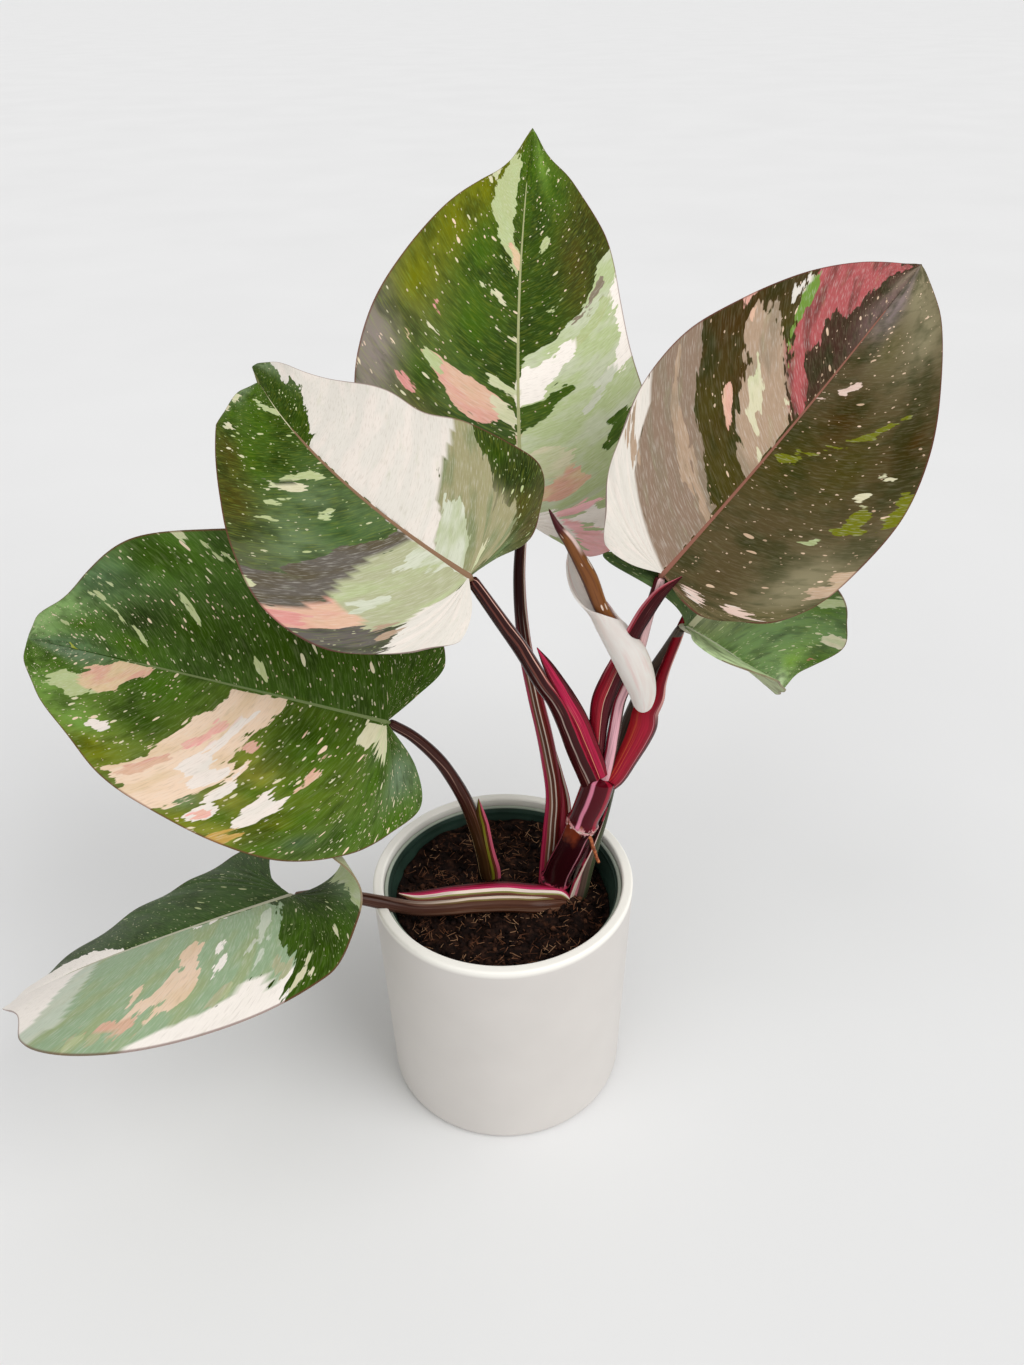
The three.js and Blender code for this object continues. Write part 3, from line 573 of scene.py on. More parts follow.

# %% [markdown]
# ## Ground of the leaves
# No two leaves are marked alike, and no single noise would put each sector where this plant has it. So
# the markings are laid out one by one. Under them the ground changes slowly across a leaf. It is given by
# a few named colours at places (t, s, colour), where s is r with a minus sign on the left half, and it
# blends from each of them to the next. Here and in the areas below, t and s are counted in thousandths.

# %% Ground of the leaves
GROUND = {
    "back": [
        (100, -500, "green"), (250, -200, "dark"), (400, -200, "dark"), (480, -900, "smoke"),
        (400, -850, "smoke"), (450, -600, "khaki"), (500, -600, "green"), (500, -300, "blue"),
        (600, -850, "lime"), (620, -350, "green"), (600, -100, "dark"), (720, -850, "lime"),
        (720, -500, "green"), (750, -150, "dark"), (820, -850, "lime"), (920, -400, "green"),
        (300, 500, "grey_green"), (500, 500, "green"), (680, 200, "dark"), (720, 600, "olive"),
        (740, 850, "olive"), (820, 300, "dark"), (850, 700, "green"), (930, 600, "bright"),
        (930, 150, "green"),
    ],
    "front": [
        # On this leaf the grey-green places are painted sheen.
        (550, -300, "blue"), (520, -600, "grey_green"), (600, -300, "grey_green"), (600, -900, "olive"),
        (700, -850, "olive"), (700, -350, "dark"), (700, -600, "green"), (800, -800, "green"),
        (800, -350, "green"), (900, -850, "grey_green"), (900, -400, "green"), (800, -100, "dark"),
        (200, -700, "slate"), (300, -900, "slate"), (340, -750, "slate"), (300, 500, "moss"),
        (330, 850, "dark"), (250, 850, "night"), (300, 750, "night"), (220, 650, "olive"),
        (120, 800, "umber"), (100, 400, "grey_green"), (800, 200, "dark"), (900, 300, "dark"),
        (950, 800, "grey_green"),
    ],
    "left": [
        (100, -900, "green"), (100, -500, "grey_green"), (100, -150, "dark"), (250, -800, "green"),
        (250, -400, "green"), (300, -100, "blue"), (360, -800, "green"), (410, -950, "mustard"),
        (420, -500, "green"), (468, -530, "mustard"), (462, -730, "mustard"), (383, -780, "lime"),
        (440, -300, "green"), (350, -950, "green"), (360, -680, "green"), (440, -850, "green"),
        (460, -950, "lime"), (450, -630, "green"), (320, -850, "fern"), (450, -200, "dark"),
        (500, -850, "grey_green"), (650, -900, "lime"), (660, -500, "dark"), (700, -850, "bright"),
        (700, -200, "green"), (820, -850, "bright"), (900, -850, "green"), (880, -400, "green"),
        (880, -100, "grey_green"), (150, 500, "dark"), (350, 400, "dark"), (500, 300, "dark"),
        (620, 350, "dark"), (700, 450, "night"), (600, 850, "green"), (700, 880, "sea"),
        (750, 200, "green"), (820, 850, "leafy"), (820, 500, "green"), (900, 150, "sea"),
        (920, 500, "leafy"), (900, 850, "pale_leafy"),
    ],
    "right": [
        # The mauve and drab places near the tip are painted sheen on the dark maroon.
        (550, -500, "olive"), (600, -900, "brown"), (600, -500, "brown"), (530, -150, "olive"),
        (680, -600, "olive"), (700, -300, "maroon"), (780, -200, "maroon"), (800, -400, "maroon"),
        (880, -450, "maroon"), (900, -150, "mauve"), (960, -300, "drab"), (970, -700, "maroon"),
        (100, 200, "rust"), (100, 600, "khaki"), (250, 300, "umber"), (300, 800, "khaki"),
        (400, 300, "umber"), (420, 750, "hay"), (500, 300, "umber"), (550, 700, "umber"),
        (620, 150, "olive"), (620, 500, "olive"), (650, 850, "brown"), (700, 300, "brown"),
        (720, 850, "umber"), (800, 100, "umber"), (820, 400, "khaki"), (820, 800, "hay"),
        (900, 200, "smoke"), (920, 600, "hay"),
    ],
    "low": [
        (50, -700, "celadon"), (100, -200, "night"), (200, -400, "dark"), (250, -800, "green"),
        (300, -300, "dark"), (300, -700, "dark"), (360, -400, "green"), (200, -900, "green"),
        (100, 400, "blue"), (300, 400, "blue"), (500, 300, "blue"), (500, 800, "blue"), (650, 500, "fern"),
        (750, 600, "dark"), (800, 800, "dark"),
    ],
    "far": [
        # The pale haze and stone places are painted light: they make up for the shade the right leaf casts
        # on this leaf.
        (200, -400, "fern"), (80, -800, "fern"), (450, -500, "hay"), (600, -850, "green"),
        (700, -850, "sea"), (700, -400, "sea"), (800, -900, "green"), (820, -600, "bright"),
        (850, -300, "sea"), (930, -500, "haze"), (300, 500, "haze"), (500, 400, "haze"),
        (700, 400, "haze"), (800, 700, "stone"), (900, 400, "haze"),
    ],
}
print("ground places:", sum(len(places) for places in GROUND.values()))

# %% [markdown]
# ## Pale and pink sectors
# Over the ground lie pale, pink and red sectors that follow the veins. Each is a colour and the corners
# of its area, listed and turned into shares of the leaf. Broad sectors lie below and fine ones above
# them. The finish makes their edges ragged, so a few corners each are enough.

# %% Broad sectors
BROAD = {
    "back": [
        ("mint", (750, -45), (767, -220), (783, -350), (800, -430), (806, -590), (833, -710), (872, -820),
         (906, -900), (928, -980), (930, -600), (930, -420), (910, -340), (883, -320), (839, -210),
         (817, -235), (794, -130), (767, -45)),
        ("pink", (537, -550), (542, -450), (545, -250), (530, -110), (503, -110), (500, -210), (510, -390),
         (515, -460), (522, -550)),
        ("herb", (0, 0), (497, 10), (510, 130), (514, 230), (530, 370), (537, 460), (557, 380), (550, 200),
         (535, 10), (593, 10), (610, 130), (625, 240), (633, 400), (639, 530), (650, 650), (664, 760),
         (678, 850), (680, 990), (440, 1000), (450, 850), (460, 680), (430, 540), (410, 600), (405, 700),
         (430, 1000), (0, 1000)),
    ],
    "front": [
        ("white", (0, 0), (0, -1000), (190, -980), (220, -850), (265, -700), (320, -530), (355, -330),
         (310, -140), (150, 0)),
        ("lichen", (485, 0), (479, -100), (475, -280), (462, -420), (446, -540), (425, -640), (408, -660),
         (395, -700), (370, -600), (342, -640), (321, -560), (330, -450), (350, -300), (310, -140),
         (200, -30), (300, 0)),
        ("slate", (410, -900), (420, -990), (450, -970), (467, -820), (487, -660), (496, -470),
         (500, -280), (505, -10), (482, -10), (475, -280), (462, -420), (446, -540), (425, -630),
         (412, -730)),
        ("pink", (420, -990), (405, -920), (412, -730), (425, -630), (408, -580), (392, -550), (376, -530),
         (367, -640), (358, -780), (362, -860), (370, -930), (385, -990)),
        ("white", (432, 60), (440, 0), (715, 0), (735, 140), (757, 330), (765, 420), (780, 460),
         (800, 660), (815, 770), (840, 780), (845, 650), (860, 630), (900, 850), (930, 1000), (440, 1000),
         (430, 950), (445, 800), (463, 520), (455, 300), (448, 380), (440, 180)),
        ("moss", (408, 980), (390, 820), (345, 650), (320, 470), (270, 580), (242, 550), (220, 500),
         (200, 300), (300, 10), (422, 0), (455, 300), (463, 530), (443, 860)),
    ],
    "left": [
        ("shell", (583, -30), (520, -20), (520, -130), (527, -300), (525, -410), (515, -510), (505, -530),
         (497, -490), (490, -600), (492, -750), (500, -880), (512, -990), (562, -990), (545, -950),
         (552, -920), (568, -940), (603, -950), (590, -860), (593, -770), (600, -560), (605, -360),
         (595, -210)),
        ("peach", (720, 0), (735, -110), (743, -200), (745, -370), (760, -510), (780, -590), (800, -610),
         (812, -250), (795, -120), (775, 0)),
        ("mint", (755, -500), (760, -600), (770, -680), (800, -720), (820, -800), (830, -700), (835, -480),
         (810, -400)),
        ("bone", (438, -600), (430, -600), (415, -640), (400, -710), (400, -800), (415, -850), (422, -820),
         (427, -700)),
        ("bone", (480, -780), (483, -660), (468, -740), (450, -820), (445, -890), (463, -910)),
        ("cream", (200, -150), (220, -250), (300, -170), (370, -70), (390, -120), (380, 0), (280, -60)),
    ],
    "right": [
        ("white", (0, 0), (0, -1000), (420, -1000), (420, -970), (420, -800), (390, -700), (375, -600),
         (375, 0)),
        ("fawn", (375, 0), (375, -600), (390, -700), (420, -800), (420, -970), (450, -1000), (540, -1000),
         (530, -800), (515, -550), (503, -250), (480, 0)),
        ("tan", (545, 0), (575, -200), (600, -420), (620, -550), (618, -830), (630, -880), (665, -820),
         (675, -550), (680, -280), (670, -100), (660, 0)),
        ("rose", (690, 0), (683, -120), (685, -300), (705, -620), (720, -750), (735, -970), (800, -1000),
         (870, -980), (930, -920), (960, -850), (980, -700), (930, -770), (900, -700), (880, -600),
         (850, -560), (820, -430), (805, -400), (805, -520), (785, -550), (777, -580), (750, -450),
         (730, -420), (712, -250), (695, -50)),
        ("blush", (250, 330), (300, 220), (360, 180), (340, 250), (300, 330), (250, 420), (200, 500),
         (180, 580), (200, 450)),
        ("blush", (265, 870), (280, 620), (320, 520), (335, 560), (300, 700), (280, 800)),
        ("sand", (390, 920), (400, 880), (440, 920), (450, 980), (420, 990)),
    ],
    "low": [
        ("herb", (0, 0), (0, -350), (50, -380), (105, -590), (145, -890), (160, -1000), (0, -1000)),
        # The snow sectors on this leaf, here and among the fine ones, are paler than its own white: painted
        # light that makes up for the shade on them.
        ("snow", (355, -740), (345, -980), (330, -1000), (535, -1000), (535, -970), (478, -930),
         (440, -870), (420, -820), (410, -720), (390, -710), (375, -850), (372, -750)),
        ("celadon", (730, -30), (470, -30), (400, -100), (398, -420), (388, -570), (355, -740),
         (372, -750), (375, -850), (390, -710), (410, -720), (420, -820), (440, -870), (478, -930),
         (535, -970), (600, -1000), (620, -1000), (605, -800), (642, -530)),
        ("silver", (728, -20), (642, -530), (605, -800), (620, -1000), (640, -1000), (660, -870),
         (685, -680), (728, -230)),
        ("snow", (728, -20), (728, -230), (685, -680), (660, -870), (640, -1000), (1000, -1000),
         (1000, 0)),
        ("snow", (600, 0), (645, 60), (675, 190), (740, 450), (807, 610), (868, 1000), (1000, 1000),
         (1000, 0)),
    ],
    "far": [
        ("cream", (700, -970), (720, -980), (735, -900), (725, -850), (710, -820), (700, -850)),
        ("mint", (520, -1000), (580, -970), (595, -900), (600, -800), (570, -880), (530, -980)),
        ("cream", (370, 0), (410, 0), (410, -100), (375, -120)),
    ],
}
print("broad sectors:", sum(len(areas) for areas in BROAD.values()))

# %% Fine sectors
FINE = {
    "back": [
        ("mint", (532, -600), (538, -580), (538, -520), (527, -490), (520, -570)),
        ("cream", (532, -130), (532, -20), (487, -20), (503, -120)),
        ("cream", (693, -420), (696, -380), (687, -240), (683, -380)),
        ("cream", (698, -270), (698, -190), (682, -80), (683, -210)),
        ("cream", (571, -210), (574, -160), (562, -30), (552, -30), (556, -140)),
        ("cream", (570, -670), (571, -640), (564, -510), (562, -550)),
        ("cream", (622, -30), (643, -180), (647, -50)),
        ("peach", (750, -45), (767, -180), (790, -160), (775, -40)),
        ("rosy", (473, -750), (488, -710), (486, -650), (473, -690)),
        ("peach", (535, -760), (543, -730), (538, -690), (527, -730)),
        ("rosy", (594, -700), (597, -620), (602, -660)),
        ("cream", (825, -920), (880, -985), (875, -950), (830, -880)),
        ("snow", (595, 10), (603, 240), (608, 480), (598, 490), (570, 320), (552, 150), (537, 20)),
        ("mint", (608, 480), (618, 550), (630, 750), (625, 900), (610, 700), (598, 490)),
        ("snow", (660, 1000), (642, 920), (610, 900), (573, 950), (550, 920), (535, 810), (512, 830),
         (505, 910), (537, 1000)),
        ("fog", (490, 500), (520, 600), (530, 800), (515, 830), (500, 650)),
        ("drab", (659, 820), (650, 770), (637, 610), (633, 470), (640, 490), (650, 660)),
        ("cream", (460, 30), (470, 200), (440, 380), (420, 250), (420, 50)),
        ("peach", (400, 80), (420, 300), (390, 450), (375, 250)),
        # The lowest lobe's snow and candy are paler than its own white and pink: painted light that makes
        # up for the shade that falls on the lobe.
        ("snow", (378, 20), (372, 170), (205, 310), (105, 550), (45, 450), (0, 200), (100, 0)),
        ("candy", (320, 180), (330, 410), (297, 550), (260, 250)),
        ("candy", (258, 260), (150, 730), (130, 760), (190, 380)),
        ("snow", (240, 350), (290, 500), (200, 850), (150, 750)),
        ("candy", (208, 320), (170, 500), (80, 1000), (0, 1000), (105, 550)),
        ("bone", (170, 500), (140, 680), (120, 900), (80, 950)),
        ("mint", (763, 120), (783, 330), (780, 340), (765, 200)),
        ("mint", (887, 620), (900, 800), (893, 800)),
        ("mint", (673, 240), (680, 360), (678, 400), (671, 300)),
    ],
    "front": [
        ("tan", (270, -710), (300, -700), (342, -610), (338, -560), (310, -570)),
        ("rosy", (385, -990), (412, -970), (400, -880), (385, -820), (378, -900)),
        ("fog", (370, -60), (420, -100), (440, -200), (455, -120), (440, -50)),
        ("fog", (390, -400), (395, -550), (405, -560), (400, -420)),
        ("cream", (430, -1000), (440, -950), (495, -970), (500, -1000)),
        ("mint", (658, -450), (671, -320), (673, -180), (664, -70), (646, -70), (655, -140), (658, -260),
         (657, -380)),
        ("cream", (647, -680), (654, -540), (652, -420), (646, -290), (636, -330), (636, -470),
         (637, -580)),
        ("night", (655, -620), (656, -450), (652, -360), (650, -440), (650, -500)),
        ("mint", (825, -80), (830, -150), (890, -340), (895, -310), (860, -140), (830, -40)),
        ("cream", (810, -940), (850, -1000), (870, -980), (825, -890)),
        ("cream", (860, -850), (875, -1000), (895, -980), (885, -850), (868, -730)),
        ("cream", (750, -850), (765, -870), (775, -770), (760, -770)),
        ("mint", (560, -760), (570, -650), (574, -660), (566, -780)),
        ("mint", (605, -600), (615, -500), (618, -520), (610, -620)),
        ("mint", (568, -330), (580, -220), (583, -240), (573, -350)),
        ("fog", (375, 30), (430, 30), (445, 250), (445, 390), (430, 340), (415, 360), (390, 220)),
        ("cream", (300, 100), (340, 60), (330, 200), (290, 240)),
    ],
    "left": [
        ("bone", (550, -180), (545, -320), (545, -480), (535, -570), (520, -550), (505, -540), (497, -490),
         (490, -600), (492, -680), (503, -720), (520, -710), (552, -690), (557, -590), (557, -490),
         (555, -350), (557, -250)),
        ("petal", (565, -240), (575, -270), (573, -350), (575, -470), (570, -500), (563, -450)),
        ("pink", (592, -950), (585, -800), (582, -600), (570, -660), (575, -900)),
        ("petal", (445, -880), (463, -910), (470, -840), (455, -840)),
        ("pink", (410, -440), (413, -360), (418, -380), (417, -460)),
        ("pink", (509, -380), (511, -340), (516, -360)),
        ("honey", (390, -900), (400, -970), (430, -960), (415, -900)),
        ("bone", (672, -710), (670, -780), (685, -840), (700, -760), (688, -700)),
        ("pink", (410, -480), (417, -380), (421, -400), (415, -500)),
        ("pink", (420, -300), (425, -200), (429, -220), (424, -320)),
        ("pink", (460, -170), (465, -70), (469, -80), (464, -190)),
        ("mint", (715, 50), (727, 280), (743, 600), (738, 640), (722, 350)),
        ("mint", (550, 100), (560, 180), (556, 200)),
        ("mint", (615, 450), (620, 570), (616, 570)),
        ("mint", (720, 700), (745, 850), (739, 860)),
        ("mint", (505, 800), (520, 930), (513, 930)),
        ("cream", (540, 930), (560, 970), (546, 980)),
        ("mint", (840, 560), (860, 660), (853, 670)),
        ("mint", (785, 630), (800, 750), (793, 760)),
        ("mint", (700, 830), (740, 970), (730, 980)),
        ("sage", (770, 0), (800, 0), (800, 60), (775, 50)),
        ("chart", (870, 0), (890, 0), (890, 120), (875, 100)),
    ],
    "right": [
        ("tan", (465, -20), (470, -500), (478, -900), (490, -900), (490, -500), (482, -20)),
        ("pink", (563, -350), (565, -500), (580, -500), (575, -350)),
        ("pink", (605, -960), (625, -970), (622, -900), (608, -900)),
        ("cream", (590, -50), (605, -250), (615, -450), (640, -600), (640, -480), (610, -150)),
        ("cream", (660, -20), (675, -200), (683, -280), (675, -100)),
        ("white", (685, -870), (690, -950), (715, -940), (690, -810)),
        ("bright", (675, -280), (690, -400), (700, -680), (720, -920), (730, -970), (730, -850),
         (705, -600), (685, -300)),
        ("tan", (310, -950), (350, -950), (370, -850), (330, -850)),
        ("tan", (340, -870), (380, -870), (380, -600), (360, -650)),
        ("blush", (715, 50), (730, 100), (760, 220), (757, 250), (735, 170)),
        ("cream", (575, 660), (595, 700), (605, 780), (590, 750)),
        ("sage", (500, 600), (515, 550), (510, 620)),
        ("lime", (610, 70), (630, 200), (670, 500), (700, 750), (680, 600), (640, 300)),
        ("lime", (520, 680), (560, 700), (560, 800), (530, 780)),
        ("lime", (530, 920), (580, 930), (570, 970)),
    ],
    "low": [
        ("snow", (400, 0), (400, -50), (500, -80), (600, -60), (730, -30), (730, 0)),
        ("shell", (510, -200), (487, -470), (465, -730), (470, -800), (492, -830), (505, -710),
         (512, -500), (503, -480), (516, -300)),
        ("snow", (465, -380), (448, -540), (450, -620), (458, -550)),
        ("shell", (535, -620), (517, -710), (517, -780), (530, -720)),
        ("pink", (560, -840), (537, -820), (497, -850), (525, -860)),
        ("lichen", (562, -910), (542, -870), (515, -900), (525, -950), (547, -950)),
        ("lichen", (450, -840), (445, -790), (422, -690), (420, -770), (430, -850)),
        ("lichen", (383, -660), (355, -740), (360, -790), (378, -770)),
        ("silver", (400, -140), (420, -150), (430, -300), (425, -500), (415, -670), (416, -370)),
        ("cream", (320, -720), (325, -690), (332, -730), (327, -760)),
        ("cream", (315, -870), (320, -840), (327, -870), (322, -900)),
        ("cream", (333, -860), (338, -840), (343, -870), (338, -900)),
        ("cream", (240, -730), (245, -710), (250, -730), (245, -750)),
        ("cream", (213, -520), (217, -500), (221, -520), (217, -540)),
    ],
    "far": [
        ("salmon", (793, -860), (800, -870), (802, -840), (795, -830)),
        ("mint", (450, -300), (456, -200), (459, -220), (454, -330)),
        ("mint", (620, -500), (627, -400), (630, -420), (625, -520)),
    ],
}
print("fine sectors:", sum(len(areas) for areas in FINE.values()))

# %% [markdown]
# ## Leaf finish
# Each blade stores its ground colour, and for both layers of sectors a tint, a mate that it drifts into,
# and the distance to the sector's edge. The finish adds streaky noise to that distance, stretched along
# the veins, before it cuts the edge, so sectors end in fine teeth as they do on the real leaves. Small
# pale dashes are cells of a stretched pattern, and only the luckiest cells get one.

# %% Leaf finish
EDGE_SWING = 2.8
COMB_SWING = 0.35
EDGE_PUSH = {"broad": 0.9, "fine": 0.2}
EDGE_BLUR = 0.15
UNDER_BROWN_SHARE = 0.35


def leaf_ground(recipe, uv, streak, comb, grain, speckle, glints, dotted):
    cloud = recipe.streaks(uv, 16, 3)
    ground = recipe.wash(recipe.stored("ground"), "night", cloud, 0.5, 0.36, 0.5)
    ground = recipe.wash(ground, "night", streak, 0.5, 0.3, 0.45)
    ground = recipe.wash(ground, glints[0], comb, 0.5, 0.72, 0.16)
    ground = recipe.wash(ground, glints[1], grain, 0.52, 0.72, 0.24)
    pale = recipe.wash(dotted[0], dotted[1], cloud, 0.45, 0.6)
    dots = recipe.dashes(uv, 190, 26, 0.5 * speckle, 0.32)
    ground = recipe.mix(recipe.times(dots, 0.7), ground, pale)
    return recipe.mix(recipe.dashes(uv, 92, 8, 0.42 * speckle, 0.3), ground, pale)


def leaf_finish(name, speckle, glints, dotted, gloss, under=False):
    recipe = Recipe(name)
    uv = recipe.uv_map()
    streak = recipe.streaks(uv, 58, 4.5)
    comb = recipe.streaks(uv, 300, 9, 2.0)
    grain = recipe.streaks(uv, 460, 13)
    drift = recipe.streaks(uv, 34, 2.4, 2.0)
    wobble = recipe.plus(recipe.between(streak, 0.25, 0.75, -EDGE_SWING, EDGE_SWING),
                         recipe.between(comb, 0.3, 0.7, -COMB_SWING, COMB_SWING))
    colour = leaf_ground(recipe, uv, streak, comb, grain, speckle, glints, dotted)
    for layer, push in EDGE_PUSH.items():
        tint, mate = recipe.stored(layer + "_tint"), recipe.stored(layer + "_mate")
        tint = recipe.wash(tint, mate, drift, 0.53, 0.38, 0.6)
        tint = recipe.wash(tint, "white", grain, 0.5, 0.72, 0.3)
        tint = recipe.wash(tint, "drab", grain, 0.48, 0.3, 0.22)
        tint = recipe.wash(tint, "sage", streak, 0.42, 0.28, 0.15)
        edge = recipe.plus(recipe.plus(recipe.stored(layer + "_edge", "Fac"), wobble), push)
        colour = recipe.wash(colour, tint, edge, -EDGE_BLUR, EDGE_BLUR)
    reach = recipe.stored("reach", "Fac")
    colour = recipe.wash(colour, "edge_brown", reach, 0.986, 0.996, 0.7)
    colour = recipe.wash(colour, recipe.stored("rib"), reach, 0.011, 0.006)
    if under:
        colour = recipe.mix(UNDER_BROWN_SHARE, colour, "under_brown")
    recipe.bump(comb, 0.2, 0.0004)
    rough = recipe.between(streak, 0.3, 0.7, gloss, gloss + 0.12)
    return recipe.finish(colour, rough, 0.04)


SPECKLE = {"back": 0.8, "front": 0.9, "left": 1.6, "low": 1.1, "right": 0.8, "far": 1.4}
DOTTED = {"right": ("sand", "shell"), "left": ("cream", "shell"), "back": ("cream", "shell")}
GLINTS = {"right": ("hay", "drab"), "left": ("sage", "leafy"), "low": ("sage", "leafy")}
UPPER_ROUGHNESS = 0.36
UNDER_ROUGHNESS = 0.45
LEAF_FINISHES = {}
for name in LEAVES:
    look = (SPECKLE[name], GLINTS.get(name, ("chart", "leafy")), DOTTED.get(name, ("mint", "cream")))
    upper = leaf_finish(f"leaf_{name}_upper", *look, UPPER_ROUGHNESS)
    lower = leaf_finish(f"leaf_{name}_under", *look, UNDER_ROUGHNESS, under=True)
    LEAF_FINISHES[name] = (upper, lower)
print("leaf finishes:", 2 * len(LEAF_FINISHES))

# %% [markdown]
# ## Markings on a mesh
# The finish needs the markings as values on the points of the mesh. For each point, the ground is the
# mean of the named colours, with the near ones counting most. The distance to an area is positive inside
# it, and an area that comes near the rib, the margin, the notch or the tip is drawn out past it first, so
# that no thin line of ground is left there.

# %% Markings on a mesh
FAR_OUTSIDE = -20.0
RIBS = {
    "back": ("mint", "night"), "front": ("rust", "cream"), "left": ("rib_green", "dark"),
    "low": ("fog", "white"), "right": ("wine", "maroon"), "far": ("fog", "fog"),
}
MATES = {
    "pink": "rosy", "peach": "rosy", "sand": "tan", "tan": "drab", "cream": "herb", "mint": "herb",
    "herb": "fog", "sage": "herb", "moss": "grey_green", "blush": "white", "rose": "maroon",
    "salmon": "pink", "fog": "sage", "white": "bone", "shell": "peach", "petal": "pink", "bone": "white",
    "lichen": "herb", "silver": "fog", "celadon": "sage", "candy": "petal", "fawn": "drab",
    "slate": "umber",
}
# Gains on each leaf's ground: most only match its colour, but the far leaf's 1.35 is painted light that
# makes up for the shade the right leaf casts on it.
GROUND_GAIN_AND_PAINTED_LIGHT = {
    "back": (1, 1, 1), "front": (1.08, 1.05, 1.2), "left": (1.12, 1.12, 1.6), "low": (0.95, 0.95, 0.9),
    "right": (1, 0.93, 1), "far": (1.35, 1.35, 1.4),
}


def past_the_edges(corners, sign):
    t, s = np.array(corners, float).T / 1000
    t = np.where(t <= 0.01, -0.15, np.where(t >= 0.99, 1.15, t))
    s = np.where(np.abs(s) >= 0.96, 1.35 * s, np.where(np.abs(s) <= 0.06, -0.2 * sign, s))
    return np.stack([t, s], 1)


def edge_distance(points, corners):
    inside = np.zeros(len(points), bool)
    nearest = np.full(len(points), np.inf)
    for a, b in zip(corners, np.roll(corners, -1, 0)):
        step = b - a
        share = np.clip((points - a) @ step / max(step @ step, 1e-9), 0, 1)
        nearest = np.minimum(nearest, np.linalg.norm(points - a - share[:, None] * step, axis=1))
        crosses = (a[1] > points[:, 1]) != (b[1] > points[:, 1])
        slope = (b[0] - a[0]) / (b[1] - a[1]) if b[1] != a[1] else 0
        inside ^= crosses & (points[:, 0] < a[0] + slope * (points[:, 1] - a[1]))
    return np.where(inside, nearest, -nearest)


def mark_ground(obj, name, t, s, sign):
    weights = total = 0
    for at_t, at_s, colour in GROUND[name]:
        if at_s * sign >= 0:
            away = np.hypot(t - at_t / 1000, 0.35 * (s - at_s / 1000)) + 0.02
            weights = weights + (away ** -3)[:, None] * np.array(ink(colour))
            total = total + away ** -3
    store(obj, "ground", weights / total[:, None] * np.array([*GROUND_GAIN_AND_PAINTED_LIGHT[name], 1]))


def mark_half(obj, name, t, r, half):
    length = LEAVES[name]["length"]
    sign = 1 if half == RIGHT else -1
    mark_ground(obj, name, t, sign * r, sign)
    scale = np.array([1.1 * length, 0.15 * length])
    points = np.stack([t, sign * r], 1) * scale
    for layer, sectors in (("broad", BROAD[name]), ("fine", FINE[name])):
        edges, tints, mates = [np.full(len(t), FAR_OUTSIDE)], [ink("mint")], [ink("mint")]
        for colour, *corners in sectors:
            if sum(corner[1] for corner in corners) * sign >= 0:
                edges.append(edge_distance(points, past_the_edges(corners, sign) * scale))
                tints.append(ink(colour))
                mates.append(ink(MATES.get(colour, colour)))
        best = np.argmax(edges, axis=0)
        store(obj, layer + "_edge", np.max(edges, axis=0))
        store(obj, layer + "_tint", np.array(tints)[best])
        store(obj, layer + "_mate", np.array(mates)[best])
    store(obj, "reach", r)
    foot_rib, tip_rib = (np.array(ink(colour)) for colour in RIBS[name])
    tipward = smooth_step(0.5, 0.8, t)[:, None]
    store(obj, "rib", foot_rib * (1 - tipward) + tip_rib * tipward)


print("ribs with their own colours:", len(RIBS))

# %% [markdown]
# ## Blades
# A blade could be one flat sheet with a bent modifier, but its two halves fold and curl differently. So
# each half is a grid laid over the chart of veins. Between neighbouring veins the blade swells a little,
# the rib lies in a groove and the margin waves slightly. The halves' maps are mirrored, so that streaks
# run the same way on both.

# %% Half a blade
VEIN_COLUMNS = 112
REACH_ROWS = 34
VEINS = 15
PUFF = 0.4
RIB_GROOVE = 0.5
MARGIN_WAVE = 1.0
TIP_START = 0.8
TIPS = {"front": (0.55, 1.06)}
BEHIND = np.array([0, 5.0, -3.2])


def mirror_map(obj):
    layer = obj.data.uv_layers.active
    flat = np.empty(2 * len(layer.data))
    layer.data.foreach_get("uv", flat)
    flat[1::2] *= -1
    layer.data.foreach_set("uv", flat)


def blade_half(name, half):
    leaf = LEAVES[name]
    shares = {}

    def place(t, r):
        shares["t"], shares["r"] = t, r
        flat = vein_point(leaf, half, t, r)
        past = np.maximum(flat[:, 0] - TIP_START * leaf["length"], 0)
        flat[:, 0] += past * (TIPS.get(name, (1, 1))[half] - 1) * smooth_step(0, 0.2, r)
        spot = blade_point(leaf, flat[:, 0], np.maximum(flat[:, 1], 0), half)
        _, _, face, _ = rib_frame(leaf, np.clip(flat[:, 0] / leaf["length"], 0, 1))
        between_veins = np.abs(np.sin(np.pi * t * VEINS))
        middle = np.sin(np.pi * np.clip(r, 0, 1)) ** 0.6
        lift = PUFF * (between_veins - 0.5) * middle * smooth_step(0.04, 0.12, t)
        lift -= RIB_GROOVE * np.exp(-(r / 0.03) ** 2)
        lift += MARGIN_WAVE * r ** 4 * np.sin(t * 31 + 2.1 * half + len(name)) * smooth_step(1, 0.85, t)
        if name == "far" and half == LEFT:
            spot = spot + BEHIND * (smooth_step(0.4, 0.8, r) * smooth_step(0.2, 0.06, t))[:, None]
        return spot + face * lift[:, None]

    obj = drape(f"{name}_{half}", VEIN_COLUMNS, REACH_ROWS, place)
    mark_half(obj, name, shares["t"], shares["r"], half)
    if half == LEFT:
        mirror_map(obj)
    else:
        edit_all(obj, bpy.ops.mesh.flip_normals)
    return obj


halves = {name: (blade_half(name, RIGHT), blade_half(name, LEFT)) for name in LEAVES}
print("points in half a blade:", len(halves["back"][0].data.vertices))

# %% [markdown]
# ## Whole leaves
# The two halves are joined and merged at the rib, then Solidify gives them their thickness, with a second
# material for the underside. Under the rib lies a round cord, thick at the notch and thin towards the
# tip.

# %% Whole leaves
BLADE_THICKNESS = 0.8
RIB_SHARE = 0.86
CORD_DEPTH = 1.4


